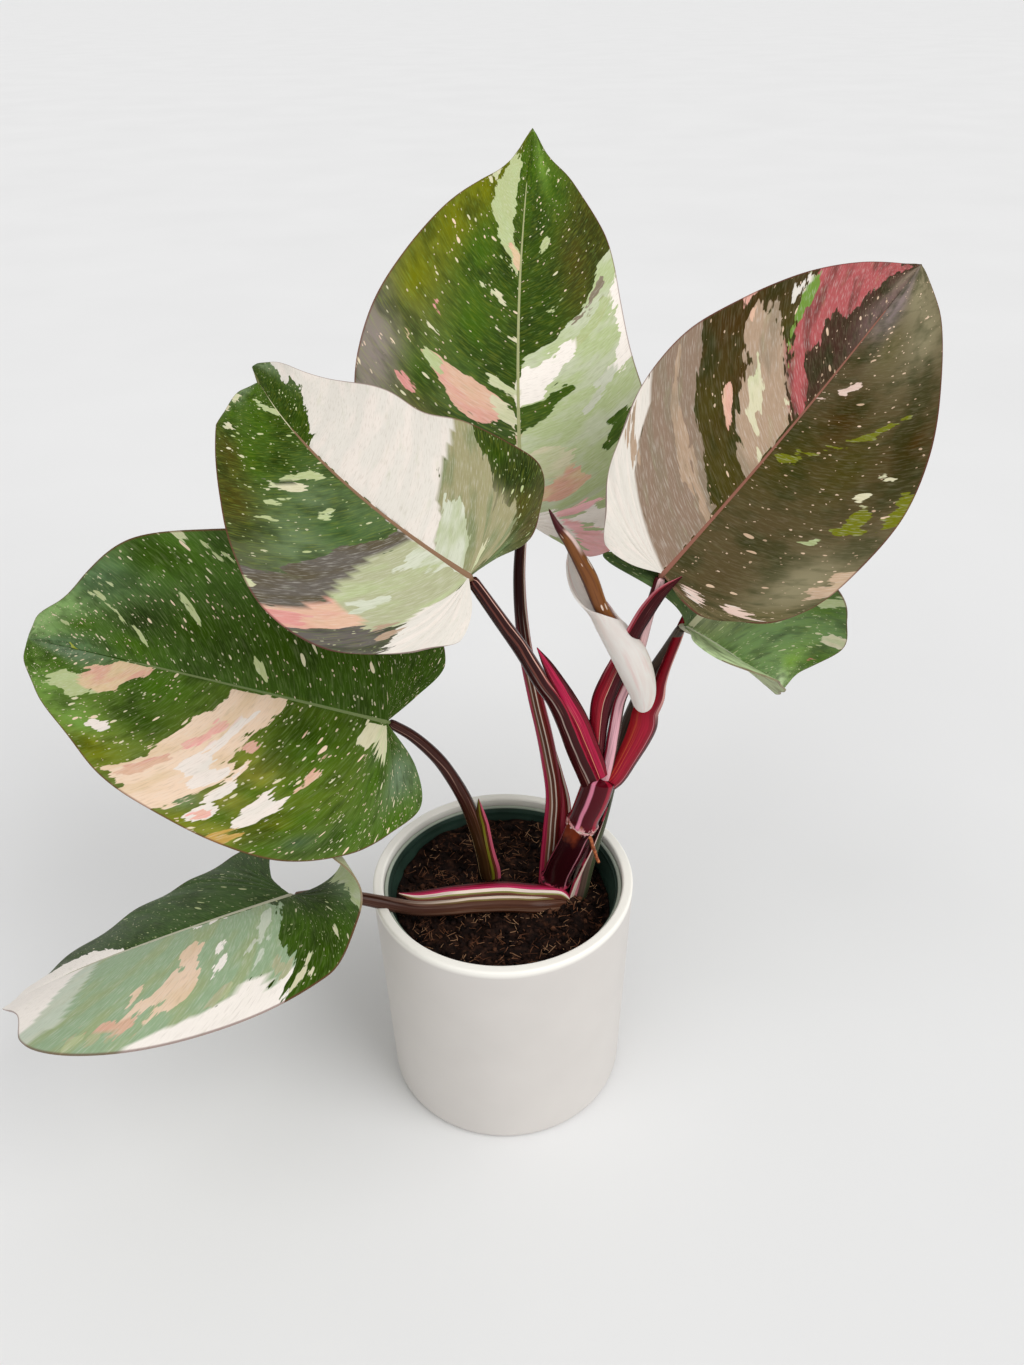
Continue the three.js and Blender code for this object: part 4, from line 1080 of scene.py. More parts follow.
def rib_cord(name):
    leaf = LEAVES[name]
    route = []
    for share in (0, 0.05, 0.2, 0.4, 0.6, RIB_SHARE):
        centre, along, face, _ = (axis[0] for axis in rib_frame(leaf, share))
        if share == 0:
            route.append(centre - 3 * along - CORD_DEPTH * face)
        route.append(centre - face * (CORD_DEPTH - share / RIB_SHARE))
    face = rib_frame(leaf, 0.4)[2][0]
    cord = tube(name + "_cord", route, lambda s, angle: 2.4 - 1.7 * np.sqrt(s), face, rings=60, sides=16)
    count = len(cord.data.vertices)
    for colour in ("ground", "broad_tint", "fine_tint", "rib"):
        store(cord, colour, np.tile(ink(RIBS[name][0]), (count, 1)))
    for layer in ("broad_edge", "fine_edge"):
        store(cord, layer, np.full(count, FAR_OUTSIDE))
    store(cord, "reach", np.zeros(count))
    return cord


for name in LEAVES:
    upper, lower = LEAF_FINISHES[name]
    blade = join(*halves[name])
    merge(blade)
    blade.name = "leaf_" + name
    blade.data.materials.append(upper)
    blade.data.materials.append(lower)
    modify(blade, "SOLIDIFY", thickness=BLADE_THICKNESS / 1000, offset=0, material_offset=1,
           material_offset_rim=0)
    cord = rib_cord(name)
    cord.data.materials.append(lower)
    join(blade, cord)
    complete(blade, f"blade_{name}")

# %% [markdown]
# ## Stalk finish
# The stalks carry bold stripes along their length, in maroon, brown, crimson, pink and cream, and on the
# front cane two thin pale stripes are painted highlights. A plain noise would give no such clean edges, so
# they are colour ramps read round the stalk, with a half turn seen from the front. Each stalk has one set
# of stripes near its foot and one near its head, and slow noise makes them wander a little. A wing's
# stripes are counted from its left edge to its right one.

# %% Stalk finish
SHADOW, GLEAM = "2c0c0c", "d09a88"


def turned_place(recipe, front, wander=0.035):
    uv = recipe.uv_map()
    parts = recipe.add("SeparateXYZ", uv).node
    turn, length = parts.outputs[0], parts.outputs[1]
    slow = recipe.streaks(uv, 0, 3, 2.0)
    turn = recipe.plus(turn, recipe.between(slow, 0.3, 0.7, 0.5 - front - wander, 0.5 - front + wander))
    return recipe.math("FRACT", turn), length, uv


def stalk_finish(name, front, foot, head, change=(0.4, 0.6)):
    recipe = Recipe(name)
    turn, length, uv = turned_place(recipe, front)
    streak = recipe.streaks(uv, 26, 3)
    late = recipe.plus(length, recipe.between(streak, 0.3, 0.7, -0.12, 0.12))
    colour = recipe.wash(recipe.stripes(turn, *foot), recipe.stripes(turn, *head), late, *change)
    colour = recipe.wash(colour, SHADOW, streak, 0.52, 0.36, 0.45)
    colour = recipe.wash(colour, GLEAM, streak, 0.6, 0.72, 0.3)
    recipe.bump(streak, 0.3, 0.0004)
    return recipe.finish(colour, recipe.between(streak, 0.3, 0.7, 0.2, 0.3), 0.14)


MAROON, BROWN, CRIMSON, CREAM, BLUSH = "3a0d10", "5a3020", "a31c38", "ecd9c8", "dc8f98"
CANE_STRIPES = {
    "back": (0.875, [(0, MAROON), (0.28, "b42c50"), (0.4, "7a4a38"), (0.45, CREAM), (0.47, BROWN),
                     (0.53, CREAM), (0.55, "6e241f"), (0.63, "9c2838"), (0.71, BLUSH), (0.75, MAROON)],
             [(0, MAROON), (0.3, "2d1010"), (0.56, "4a2c24"), (0.62, CREAM), (0.67, BLUSH), (0.7, MAROON)],
             (0.62, 0.76)),
    # Front cane: the grey-pink line near the foot and the pink line near the head are painted highlights.
    "front": (0.785, [(0, MAROON), (0.44, "b09a90"), (0.46, MAROON), (0.58, CRIMSON), (0.8, MAROON)],
              [(0, "2d0f0c"), (0.46, "6a3a30"), (0.5, "2d0f0c"), (0.6, "d8a898"), (0.625, "3c1310")]),
    "left": (0.87, [(0, "a8906a"), (0.27, "3c2814"), (0.5, "4a3018"), (0.75, "381d0e")],
             [(0, "3a1c18"), (0.46, "8a6a5c"), (0.48, "3e221c"), (0.6, "32160f")]),
    "low": (0.85, [(0, "4a2a1c"), (0.36, "7c5c4a"), (0.42, "553526"), (0.58, "7a6a3c"), (0.62, CREAM),
                   (0.72, MAROON)],
            [(0, "4c3026"), (0.54, "36190b"), (0.6, "6b5044"), (0.8, "40251c")]),
    "right": (0.55, [(0, MAROON), (0.36, "8c2034"), (0.42, "e8b0ba"), (0.64, "5a4a44"), (0.8, MAROON)],
              [(0, MAROON), (0.3, "4a0c14"), (0.44, "dcb4b4"), (0.7, "a86a6c"), (0.8, MAROON)]),
    "far": (0.09, [(0, "4a4038"), (0.25, CREAM), (0.42, BLUSH), (0.48, "5a4a40"), (0.6, "3e4630"),
                   (0.8, "4a4038")],
            [(0, "4a4038"), (0.4, "5c5248"), (0.52, "453c34")]),
}
WING_STRIPES = {
    "back": [(0, "7a1c28"), (0.3, "9c2c3c"), (0.6, "6e241f"), (0.78, CREAM), (0.92, "c86a78")],
    "front": [(0, "4a1014"), (0.06, "e0a07c"), (0.11, "86102a"), (0.3, "e08868"), (0.34, "b01a42"),
              (0.7, "7c1026"), (0.93, "3c080e")],
    "left": [(0, "4a3414"), (0.35, "7c7a22"), (0.55, "5a2a1c"), (0.76, "c45a70")],
    "low": [(0, "6a4030"), (0.25, "8c8c48"), (0.34, "f0ddd0"), (0.53, "c83464"), (0.66, "981a3c"),
            (0.84, "500a16")],
    "right": [(0, "5a0a18"), (0.1, "8c1024"), (0.34, "a82030"), (0.54, "e8b8a0"), (0.57, "560a18"),
              (0.86, "34060c")],
    "far": [(0, MAROON), (0.5, "4a4038"), (0.8, BLUSH), (0.88, CREAM), (0.97, "9c2c40")],
}
WING_TIPS = {
    "front": [(0, "4a1014"), (0.12, "7a0e24"), (0.25, "b81c48"), (0.7, "5c0c1c"), (0.85, "34080c")],
    "right": [(0, "c8707a"), (0.14, "8a2030"), (0.26, "40060e"), (0.86, "2c0408")],
}
CANE_FINISHES = {name: stalk_finish("cane_" + name, *look) for name, look in CANE_STRIPES.items()}
WING_FINISHES = {
    name: stalk_finish("wing_" + name, 0.5, bands, WING_TIPS.get(name, bands))
    for name, bands in WING_STRIPES.items()
}
print("stalk finishes:", len(CANE_FINISHES) + len(WING_FINISHES))

# %% [markdown]
# ## Leaf stalks
# A stalk is a round cane whose lower part carries a thin wing. The cane could be a bevelled curve, but a
# tube made from a grid keeps a map that its stripes can follow. A cane has a route, its radius at the
# foot, the middle and the head, and the side that its map starts from. A wing has rows of a place and a
# half width, and bulges towards the viewer. Only the far stalk keeps a clasping sheath. Each head
# stops just short of the rib of its blade.

# %% Leaf stalks
STALKS = {
    "back": {
        "route": [[24, 9, 114], [25, 10.5, 132], [26.6, 14, 153.3], [28.3, 18.5, 174.9], [25.6, 23, 196.8],
                  [22.6, 26.5, 213.3], [18.5, 32, 231], [13.2, 44, 257], [11.2, 53, 287]],
        "radius": [5.2, 4.2, 2.7], "inner": [0.7, -0.7, 0.1],
        "wing": [[34, 12, 140, 3.6], [33.4, 14, 158, 3.8], [33.2, 17.6, 172, 3.4], [31, 20.5, 186, 2.2],
                 [28, 23, 200, 1.4], [26, 24.5, 210, 0]],
    },
    "front": {
        "route": [[47.5, 6, 191], [44.7, 5.5, 199], [38.5, 4.5, 215.9], [33.4, 3, 232.4], [27.4, 0.5, 249],
                  [20.4, -4, 263.2], [12.3, -8.5, 281.5], [0.2, -15.5, 306]],
        "radius": [5.4, 4.2, 2.7], "inner": [0.8, 0, 0.6],
        "wing": [[51.7, 4.5, 199.2, 3.6], [47.8, 4, 211.3, 4], [43.6, 3.5, 223.7, 4.2],
                 [38.9, 2.5, 236.7, 4.3], [33.5, 1, 248.6, 4.2], [28.8, -3, 260.7, 3.3],
                 [23.1, -6, 273.8, 2], [18.5, -9, 284.4, 0]],
    },
    "left": {
        "route": [[14, 11, 104], [-2, 13.5, 110], [-8, 13.5, 122], [-10.5, 12.5, 140.8],
                  [-14.3, 10.5, 163], [-19, 8, 182.2], [-25.3, 6, 199], [-32, 4.5, 212.5],
                  [-43.3, 1.2, 228.6]],
        "radius": [4.0, 3.9, 2.4], "inner": [0.9, -0.3, 0.2],
        "wing": [[-5.1, 12, 122, 3.6], [-5.3, 11.5, 129, 3.5], [-7.6, 10.5, 145.3, 2.8],
                 [-9.5, 8.5, 163.3, 2.5], [-11.1, 7.5, 173.4, 2], [-11.8, 6.5, 183.5, 0]],
    },
    "low": {
        "route": [[33, -5, 119], [26, -9, 122.5], [15.5, -12.2, 125.5], [0.2, -12.6, 127],
                  [-15.1, -14.8, 128.5], [-30.2, -18, 130], [-45.1, -20.2, 132], [-55, -20.4, 134.5],
                  [-64.8, -21, 138], [-76, -22.6, 142.8], [-91.3, -26.6, 149.6]],
        "radius": [4.6, 4.1, 2.3], "inner": [0, 0.1, 1],
        "wing": [[35.5, -5.5, 123, 0.6], [34.3, -5.5, 124.5, 1.9], [31, -5.6, 127.2, 3.1],
                 [24, -6, 128.6, 3.8], [15.7, -6.4, 129.5, 4.1], [0.3, -6.1, 131, 4.2],
                 [-15.1, -8, 132, 4.1], [-30.3, -11.9, 134, 3.8], [-45.2, -15.8, 136, 2.8],
                 [-54.8, -15.6, 138.5, 0]],
        "wing_faces": [0, -0.45, 0.9],
    },
    "right": {
        "route": [[52.5, 7, 192], [55.5, 8, 208.1], [57.8, 9, 225.3], [59.8, 9.6, 242], [63.9, 8.6, 256],
                  [67.9, 6.4, 275], [70.9, 4.6, 294]],
        "radius": [3.6, 3.0, 2.5], "inner": [0.5, 0.85, 0],
        "wing": [[49.3, 7, 209, 3], [49.3, 7.5, 215.9, 3.6], [49.9, 8.5, 231.7, 4.6],
                 [51.3, 8.5, 243.2, 5.2], [54.8, 8, 254.8, 5], [58.7, 7, 265.9, 4.4],
                 [63.4, 4, 282.1, 3.4], [69.6, 1, 297.7, 3.3], [75.6, -1, 308.3, 2.3],
                 [83.9, -2, 316.4, 0]],
    },
    "far": {
        "route": [[40, 3, 112], [42.3, 3.4, 124], [46.5, 8.5, 141], [53, 19, 158], [59.4, 24, 187.7],
                  [64.5, 23.5, 212.8], [74, 23.4, 242.8], [84.2, 23.4, 263.6]],
        "radius": [5, 3.8, 2.4], "inner": [-0.7, -0.6, 0.2],
    },
}
FAR_SHEATH = {
    "route": [[30.5, 4.5, 121], [34.5, 4.2, 138], [43, 9, 155], [51, 17, 170], [57, 22.5, 186]],
    "radius": [9.8, 7.6, 3.4], "turn": [105, 85, 40],
}
TO_VIEWER = [0, -0.85, 0.5]

for name, stalk in STALKS.items():
    centre, along, face, _ = (axis[0] for axis in rib_frame(LEAVES[name], 0))
    route = stalk["route"] + [list(centre - 1.2 * along - 1.4 * face)]
    cane = tube("stalk_" + name, route, lambda s, angle: foot_middle_tip(stalk["radius"], s),
                stalk["inner"], rings=110, sides=28)
    if name == "far":
        wing = clasp("wing", FAR_SHEATH["route"], FAR_SHEATH["radius"], FAR_SHEATH["turn"], stalk["inner"])
    else:
        wing = strip("wing", stalk["wing"], stalk.get("wing_faces", TO_VIEWER))
    cane.data.materials.append(CANE_FINISHES[name])
    wing.data.materials.append(WING_FINISHES[name])
    join(cane, wing)
    complete(cane, f"petiole_{name}")

# %% [markdown]
# ## Stem finish
# The lower length of the stem is dark maroon and the young upper length glossy crimson, each with its own
# stripes; on the young length the pale pink stripe and the bright crimson band are painted highlights.
# Where a leaf once sat, a torn pale ring goes round the stem and a brown scar faces the viewer.

# %% Stem finish
STEM_NODES = (0.31, 0.71)
stem_skin = Recipe("stem_skin")
turn, length, uv = turned_place(stem_skin, 0.95, 0.02)
# Painted highlights: the pale pink stripe and the crimson band on the young length stand in for gloss.
young = stem_skin.stripes(turn, (0, "3c0610"), (0.28, "78081c"), (0.33, "42060e"), (0.45, "d8809a"),
                          (0.49, "4e0614"), (0.63, "92142c"), (0.69, "480612"), (0.8, "3c0610"))
old = stem_skin.stripes(turn, (0, "2c0a12"), (0.3, "983c50"), (0.32, "2a080d"), (0.63, "c07c88"),
                        (0.643, "360a12"))
skin = stem_skin.wash(old, young, length, 0.69, 0.715)
torn = stem_skin.streaks(uv, 18, 30)
height = stem_skin.plus(length, stem_skin.between(torn, 0.3, 0.7, -0.02, 0.02))
ring = stem_skin.within(height, 0.69, 0.7, 0.72, 0.73)
ring_colour = stem_skin.ramp(torn, (0.35, "8a4a34"), (0.5, "e0a0a4"), (0.62, "f0d8cc"))
skin = stem_skin.mix(ring, skin, ring_colour)
scar = stem_skin.times(stem_skin.within(height, 0.6, 0.66, 0.705, 0.715),
                       stem_skin.within(turn, 0.3, 0.34, 0.5, 0.56))
skin = stem_skin.mix(scar, skin, "78341f")
foot_ring = stem_skin.within(height, 0.3, 0.31, 0.325, 0.335)
skin = stem_skin.mix(foot_ring, skin, "a63a52")
stem_skin.bump(torn, 0.15, 0.0005)
stem_material = stem_skin.finish(skin, 0.18, 0.16)
print("finish:", stem_material.name)

# %% [markdown]
# ## Stem
# The stem climbs in short internodes. It is one tube, and its radius is a formula: it narrows into the
# soil, thickens a little towards the top, and swells at each node, with a sharp ridge just above the
# swelling.

# %% Stem
STEM_ROUTE = [
    [19, 7, 98], [26.5, 4.5, 119], [31, 3.5, 137], [37.5, 3, 154], [43.8, 4, 173], [48.3, 5, 186],
    [51.3, 6.4, 197],
]


def stem_radius(s, angle):
    ring = sum(np.exp(-((s - at) / 0.03) ** 2) for at in STEM_NODES)
    ridge = sum(np.exp(-((s - at - 0.012) / 0.008) ** 2) for at in STEM_NODES)
    body = (7.6 + 0.8 * smooth_step(0.7, 0.9, s)) * (0.6 + 0.4 * smooth_step(0, 0.2, s))
    return body + 0.9 * ring + 0.5 * ridge * (1 + 0.5 * np.sin(5 * angle))


stem = tube("stem", STEM_ROUTE, stem_radius, [0, -1, 0], rings=150, sides=48)
complete(stem, "main_stem", [stem_material])

# %% [markdown]
# ## Rolled leaf
# The newest leaf is still a pointed roll, copper brown with a thin pale line where its edge lies. A tube
# whose radius has a shallow groove that winds up it reads as a roll, and needs no real windings inside.

# %% Rolled leaf
ROLL_ROWS = np.array([
    [57.5, 8, 196.8, 2.6], [62.4, 9, 205.6, 3], [67.7, 11, 217.9, 3.4], [70.8, 13, 232.5, 3.6],
    [70.2, 14, 245.1, 3.6], [65.6, 14, 259.9, 3.6], [60.1, 13.5, 272.8, 3.5], [54.9, 13, 283.2, 3.4],
    [49.4, 14, 292.6, 3.5], [43.3, 15, 308.4, 3.9], [37, 17, 320.2, 3.2], [33.6, 18.5, 325.7, 2.8],
    [29.2, 19.5, 331.5, 1.8], [24.6, 21.5, 340.2, 0.4],
])


def roll_radius(s, angle):
    return row_sizes(ROLL_ROWS, s) - 0.35 * np.cos(angle - 9 * s) ** 8 * (1 - s)


roll_skin = Recipe("roll_skin")
turn, length, uv = turned_place(roll_skin, 0.02)
copper = roll_skin.stripes(turn, (0, "3a1a18"), (0.3, "5c3420"), (0.36, "82502a"), (0.6, "96602e"),
                           (0.72, "6a4020"), soft=0.02)
streak = roll_skin.streaks(uv, 24, 8)
copper = roll_skin.wash(copper, "4e2a1a", streak, 0.5, 0.34, 0.5)
copper = roll_skin.mix(roll_skin.dashes(uv, 12, 16, 0.5, 0.4), copper, "f0d8c4")
copper = roll_skin.wash(copper, "7c2c1c", length, 0.64, 0.54)
copper = roll_skin.wash(copper, "4a1418", length, 0.9, 0.93)
roll_skin.bump(streak, 0.25, 0.0006)
right_edge = roll_skin.within(turn, 0.56, 0.6, 0.72, 0.76)
thin_end = roll_skin.within(length, 0.83, 0.86, 0.91, 0.93)
copper = roll_skin.mix(roll_skin.times(right_edge, thin_end), copper, "e6c8c0")
rolled = tube("rolled_leaf_piece", ROLL_ROWS[:, :3], roll_radius, [0, -1, 0], rings=120, sides=36)
rolled.data.materials.append(roll_skin.finish(copper, 0.34, 0.2))
print("roll faces:", len(rolled.data.polygons))

# %% [markdown]
# ## Pale wrap
# The pale half of the newest leaf is wrapped round the foot of the roll, and its rim climbs as it goes
# round. A grid is bent round the roll's own rows, each column up to the height of the rim there. The pale
# skin lets a little light through, which the shader's subsurface setting gives.

# %% Pale wrap
WRAP_ROWS = np.array([
    [70.3, -2, 243.2, 0.3], [70.2, -2, 244.5, 2.6], [70, -1.9, 247.5, 4.4], [69.3, -1.5, 254.7, 6.2],
    [66.1, -0.5, 265.2, 7.7], [62.4, 1.5, 273.3, 8], [59, 4, 278.2, 7.4], [53.2, 9, 285.5, 6.1],
    [49.1, 13, 292.2, 5.8], [41.4, 17, 301.9, 6.2], [37.5, 19, 310.2, 5], [34.9, 20.5, 318.6, 2.4],
])
RIM_TURNS = [-230, -200, -160, -130, -110, -90, -45, 0, 45, 90, 110, 130]
RIM_REACH = [0.85, 0.95, 1.0, 0.93, 0.82, 0.735, 0.665, 0.605, 0.55, 0.505, 0.56, 0.66]
WRAP_START = -225
WRAP_TURN = 355


def wrap_place(u, v):
    turn = WRAP_START + WRAP_TURN * u
    reach = v * np.interp(turn, RIM_TURNS, RIM_REACH)
    centre, face, across = along_route(WRAP_ROWS[:, :3], reach, TO_VIEWER)
    size = np.maximum(row_sizes(WRAP_ROWS, reach), 0.2)
    turn = np.radians(turn)
    depth = np.where(np.cos(turn) > 0, 0.75, 0.35 + 0.6 * smooth_step(0.42, 0.6, reach))
    return centre + across * (size * np.sin(turn))[:, None] + face * (size * depth * np.cos(turn))[:, None]


wrap_skin = Recipe("wrap_skin")
turn, length, uv = turned_place(wrap_skin, 0.5, 0.01)
bands = wrap_skin.streaks(uv, 9, 1.5)
wrap_colour = wrap_skin.ramp(bands, (0.35, "ead9cf"), (0.55, "f1e8df"), (0.72, "e9c6be"))
side = wrap_skin.math("ABSOLUTE", wrap_skin.math("SUBTRACT", turn, 0.5))
wrap_colour = wrap_skin.wash(wrap_colour, "d9969a", side, 0.47, 0.495)
wrap_skin.bump(bands, 0.15, 0.0005)
wrap_material = wrap_skin.finish(wrap_colour, 0.42, 0.2, Subsurface_Weight=0.6,
                                 Subsurface_Radius=(1.0, 1.0, 1.0), Subsurface_Scale=0.004)
wrap = drape("wrap", 48, 90, wrap_place)
modify(wrap, "SOLIDIFY", thickness=0.0009, offset=0)
wrap.data.materials.append(wrap_material)
join(rolled, wrap)
complete(rolled, "rolled_leaf")

# %% [markdown]
# ## Red sheath
# The sheath that held the newest leaf is bright crimson, open down its inner side, and ends in a thin
# tongue. It is a cupped strip: rows give its place and half width, and the cup opens away from the
# viewer. Its lower part is brighter than its tongue, with a little amber.

# %% Red sheath
RED_ROWS = [
    [55.9, 6.5, 192, 4], [59.4, 7, 196.5, 4.8], [65, 8, 207.9, 5.4], [69.9, 9, 219.2, 6.3],
    [72.3, 10, 226.7, 6.9], [73.4, 11, 234.2, 6.3], [77.7, 12.5, 241.5, 4.6], [79.8, 14, 248.7, 3],
    [82.1, 15.5, 256.6, 2.4], [84.9, 17.5, 264.2, 2.2], [87.7, 19.5, 271.7, 2.1], [90, 21, 279.4, 1.6],
    [92, 22.5, 286.8, 0],
]
red_skin = Recipe("red_skin")
turn, length, uv = turned_place(red_skin, 0.5, 0.02)
low_red = red_skin.stripes(turn, (0, "9c1c24"), (0.16, "b03a2c"), (0.22, "a41c2a"), (0.34, "a01830"),
                           (0.6, "8c1026"), (0.78, "d08890"), (0.8, "7a0c20"), (0.86, "48060f"), soft=0.012)
high_red = red_skin.stripes(turn, (0, "5c0812"), (0.2, "8c0c1e"), (0.6, "7a0a1a"), (0.84, "dc9a94"),
                            soft=0.012)
red = red_skin.wash(low_red, high_red, length, 0.38, 0.55)
streak = red_skin.streaks(uv, 26, 2, 4.0)
amber = red_skin.times(red_skin.between(streak, 0.56, 0.72), red_skin.between(length, 0.4, 0.25))
red = red_skin.mix(red_skin.times(amber, red_skin.between(turn, 0.6, 0.35)), red, "d8703c")
red = red_skin.wash(red, "6c0818", streak, 0.46, 0.32, 0.6)
red_skin.bump(streak, 0.2, 0.0005)
red_material = red_skin.finish(red, 0.22, 0.15)
sheath = strip("red_sheath", RED_ROWS, [0.1, -0.85, 0.5], 0.7, 24, 90)
complete(sheath, "cataphyll", [red_material])

# %% [markdown]
# ## Aerial root
# One thin, orange-brown root hangs from the upper internode. It is a small tube with a slightly knobbly
# radius, and a fine grain makes it look like cork.

# %% Aerial root
ROOT_ROUTE = [[43, 0, 171], [45.9, -2.4, 164.7], [48, -4, 158.1], [51.2, -4.6, 147.7]]


def root_radius(s, angle):
    return 1.15 - 0.35 * s + 0.12 * np.sin(21 * s + angle)


root_skin = Recipe("root_skin")
grain = root_skin.noise(root_skin.place(), 700.0)
root_colour = root_skin.ramp(grain, (0.35, "6a2f14"), (0.55, "a8562a"), (0.7, "cf8a52"))
root = tube("root", ROOT_ROUTE, root_radius, [1, 0, 0], rings=50, sides=14)
complete(root, "aerial_root", [root_skin.finish(root_colour, 0.6)])

# %% [markdown]
# ## Turned shapes
# Both pots are turned shapes. Spinning a profile would do, but its seam and poles then need care. Here a
# grid is wrapped round the axis and follows the profile of the wall, up the outside, over the lip and
# down inside, so the wall is a closed solid of its real thickness. A rounded corner is a quarter circle
# of points.

# %% Turned shapes
CORNER_STEPS = 10
LONGEST_STEP = 8.0
POT_SIDES = 144


def corner(r, z, size, start):
    angles = np.radians(start + 90 * np.arange(CORNER_STEPS + 1) / CORNER_STEPS)
    return [(r + size * math.cos(a), z + size * math.sin(a)) for a in angles]


def spaced(profile):
    dense = [profile[0]]
    for a, b in zip(profile, profile[1:]):
        count = max(1, int(math.dist(a, b) / LONGEST_STEP))
        dense += [tuple(np.array(a) + (np.array(b) - np.array(a)) * (k + 1) / count) for k in range(count)]
    return dense


def turned(name, profile):
    profile = np.array(spaced(profile))
    rows = len(profile) - 1

    def place(u, v):
        index = np.rint(v * rows).astype(int)
        r, z = profile[index].T
        return np.stack([r * np.cos(2 * np.pi * u), r * np.sin(2 * np.pi * u), z], 1)

    obj = drape(name, POT_SIDES, rows, place)
    close(obj)
    return obj


print("corner points:", len(corner(0, 0, 1, 0)))

# %% [markdown]
# ## Cover pot
# The white pot is a plain tapering cup with a rounded foot and a plain rounded rim. Its sizes in
# millimetres are those of the solid pot. The glaze is satin white, cloudy by a trace, and the top of the
# rim is painted near white, a painted highlight where the light falls on the lip.

# %% Cover pot
POT_HEIGHT, RIM_RADIUS, FOOT_RADIUS, WALL, POT_FLOOR = 136.5, 70, 66.5, 4.6, 6
FOOT_CORNER = 4.5
RIM_WIDTH, RIM_DEPTH, RIM_FADE, LIP = 5.6, 8, 14, 1.4
UNDER_RIM = 0.8
INSIDE = FOOT_RADIUS - WALL
cover = turned("cover", [
    (0, 0), *corner(FOOT_RADIUS - FOOT_CORNER, FOOT_CORNER, FOOT_CORNER, -90),
    *corner(RIM_RADIUS - LIP, POT_HEIGHT - LIP, LIP, 0),
    *corner(RIM_RADIUS - RIM_WIDTH + LIP, POT_HEIGHT - LIP, LIP, 90),
    (RIM_RADIUS - RIM_WIDTH, POT_HEIGHT - RIM_DEPTH),
    (RIM_RADIUS - WALL - UNDER_RIM, POT_HEIGHT - RIM_FADE),
    (INSIDE, POT_FLOOR + FOOT_CORNER), (INSIDE - FOOT_CORNER, POT_FLOOR), (0, POT_FLOOR),
])
glaze = Recipe("satin_white")
cloudy = glaze.noise(glaze.place(), 30.0)
white = glaze.ramp(cloudy, (0.3, "d2cdc8"), (0.7, "d6d1cc"))
up = glaze.add("SeparateXYZ", glaze.place(), out=2)
# Painted highlight: the top few millimetres of the rim are painted near white.
white = glaze.wash(white, "fbf8f0", up, (POT_HEIGHT - 4.5) / 1000, (POT_HEIGHT - 2) / 1000)
glaze.bump(glaze.noise(glaze.place(), 900.0), 0.05, 0.0002)
complete(cover, "cover_pot", [glaze.finish(white, 0.42)], 50)

# %% [markdown]
# ## Nursery pot
# Inside stands the thin green plastic pot that the plant was grown in. Only its lip and a little of its
# dark inside show above the soil. Its six drain holes are drilled with a Boolean modifier, one cylinder
# for each.

# %% Nursery pot
NURSERY_HEIGHT = 126
NURSERY_WALL = 1.3
NURSERY_FOOT = 52
NURSERY_RIM = 63.2
BOTTOM = POT_FLOOR + 0.3
TOP = BOTTOM + NURSERY_HEIGHT
DRAINS = 6
DRAIN_RING = 0.034


def nursery_radius(z):
    return NURSERY_FOOT + (NURSERY_RIM - 2 - NURSERY_FOOT) * (z - BOTTOM) / NURSERY_HEIGHT


inner_floor = BOTTOM + NURSERY_WALL
nursery = turned("nursery", [
    (0, BOTTOM), (NURSERY_FOOT, BOTTOM), (nursery_radius(TOP - 3), TOP - 3), (NURSERY_RIM + 1, TOP - 3),
    (NURSERY_RIM + 1, TOP - 0.6), (NURSERY_RIM + 0.4, TOP), (NURSERY_RIM - 0.5, TOP),
    (NURSERY_RIM - 1.0, TOP - 0.6), (nursery_radius(TOP - 11) - NURSERY_WALL, TOP - 11),
    (nursery_radius(inner_floor) - NURSERY_WALL, inner_floor), (0, inner_floor),
])
for k in range(DRAINS):
    turn = k * math.pi * 2 / DRAINS
    spot = (DRAIN_RING * math.cos(turn), DRAIN_RING * math.sin(turn), inner_floor / 1000)
    bpy.ops.mesh.primitive_cylinder_add(vertices=32, radius=0.005, depth=0.006, location=spot)
    drill = bpy.context.active_object
    modify(nursery, "BOOLEAN", operation="DIFFERENCE", solver="EXACT", object=drill)
    bpy.data.objects.remove(drill)
plastic = Recipe("green_plastic")
height = plastic.add("SeparateXYZ", plastic.place(), out=2)
mottle = plastic.noise(plastic.place(), 60.0)
green = plastic.wash("22332a", "2c4238", mottle, 0.3, 0.7)
# Painted highlight: the top of the lip is painted pale grey-green where light falls on it.
green = plastic.wash(green, "a9b2a4", height, (TOP - 1.1) / 1000, (TOP - 0.4) / 1000)
complete(nursery, "nursery_pot", [plastic.finish(green, 0.45, 0.2)], 30)

# %% [markdown]
# ## Soil
# Potting mix is lumpy peat. The block is one grid from the middle of the top out to the wall and down,
# with its top raised by slow waves and roughened by fractal noise. It is higher at the back and falls off
# on the right, as in the picture.

# %% Soil
SOIL_LEVEL = 124
SOIL_GAP = 0.3
WAVES = [(0.21, 0.08, 0.4), (-0.1, 0.26, 2.1), (0.33, -0.19, 4.0), (0.12, 0.41, 5.2)]
TOP_SHARE = 0.9


def soil_height(x, y):
    slope = 4 * smooth_step(0, 50, y) - 9 * smooth_step(34, 58, x) - 2 * smooth_step(25, 58, -x)
    return SOIL_LEVEL - 2 + slope + sum(0.45 * np.sin(a * x + b * y + c) for a, b, c in WAVES)


def soil_reach(z):
    return nursery_radius(z) - NURSERY_WALL - SOIL_GAP


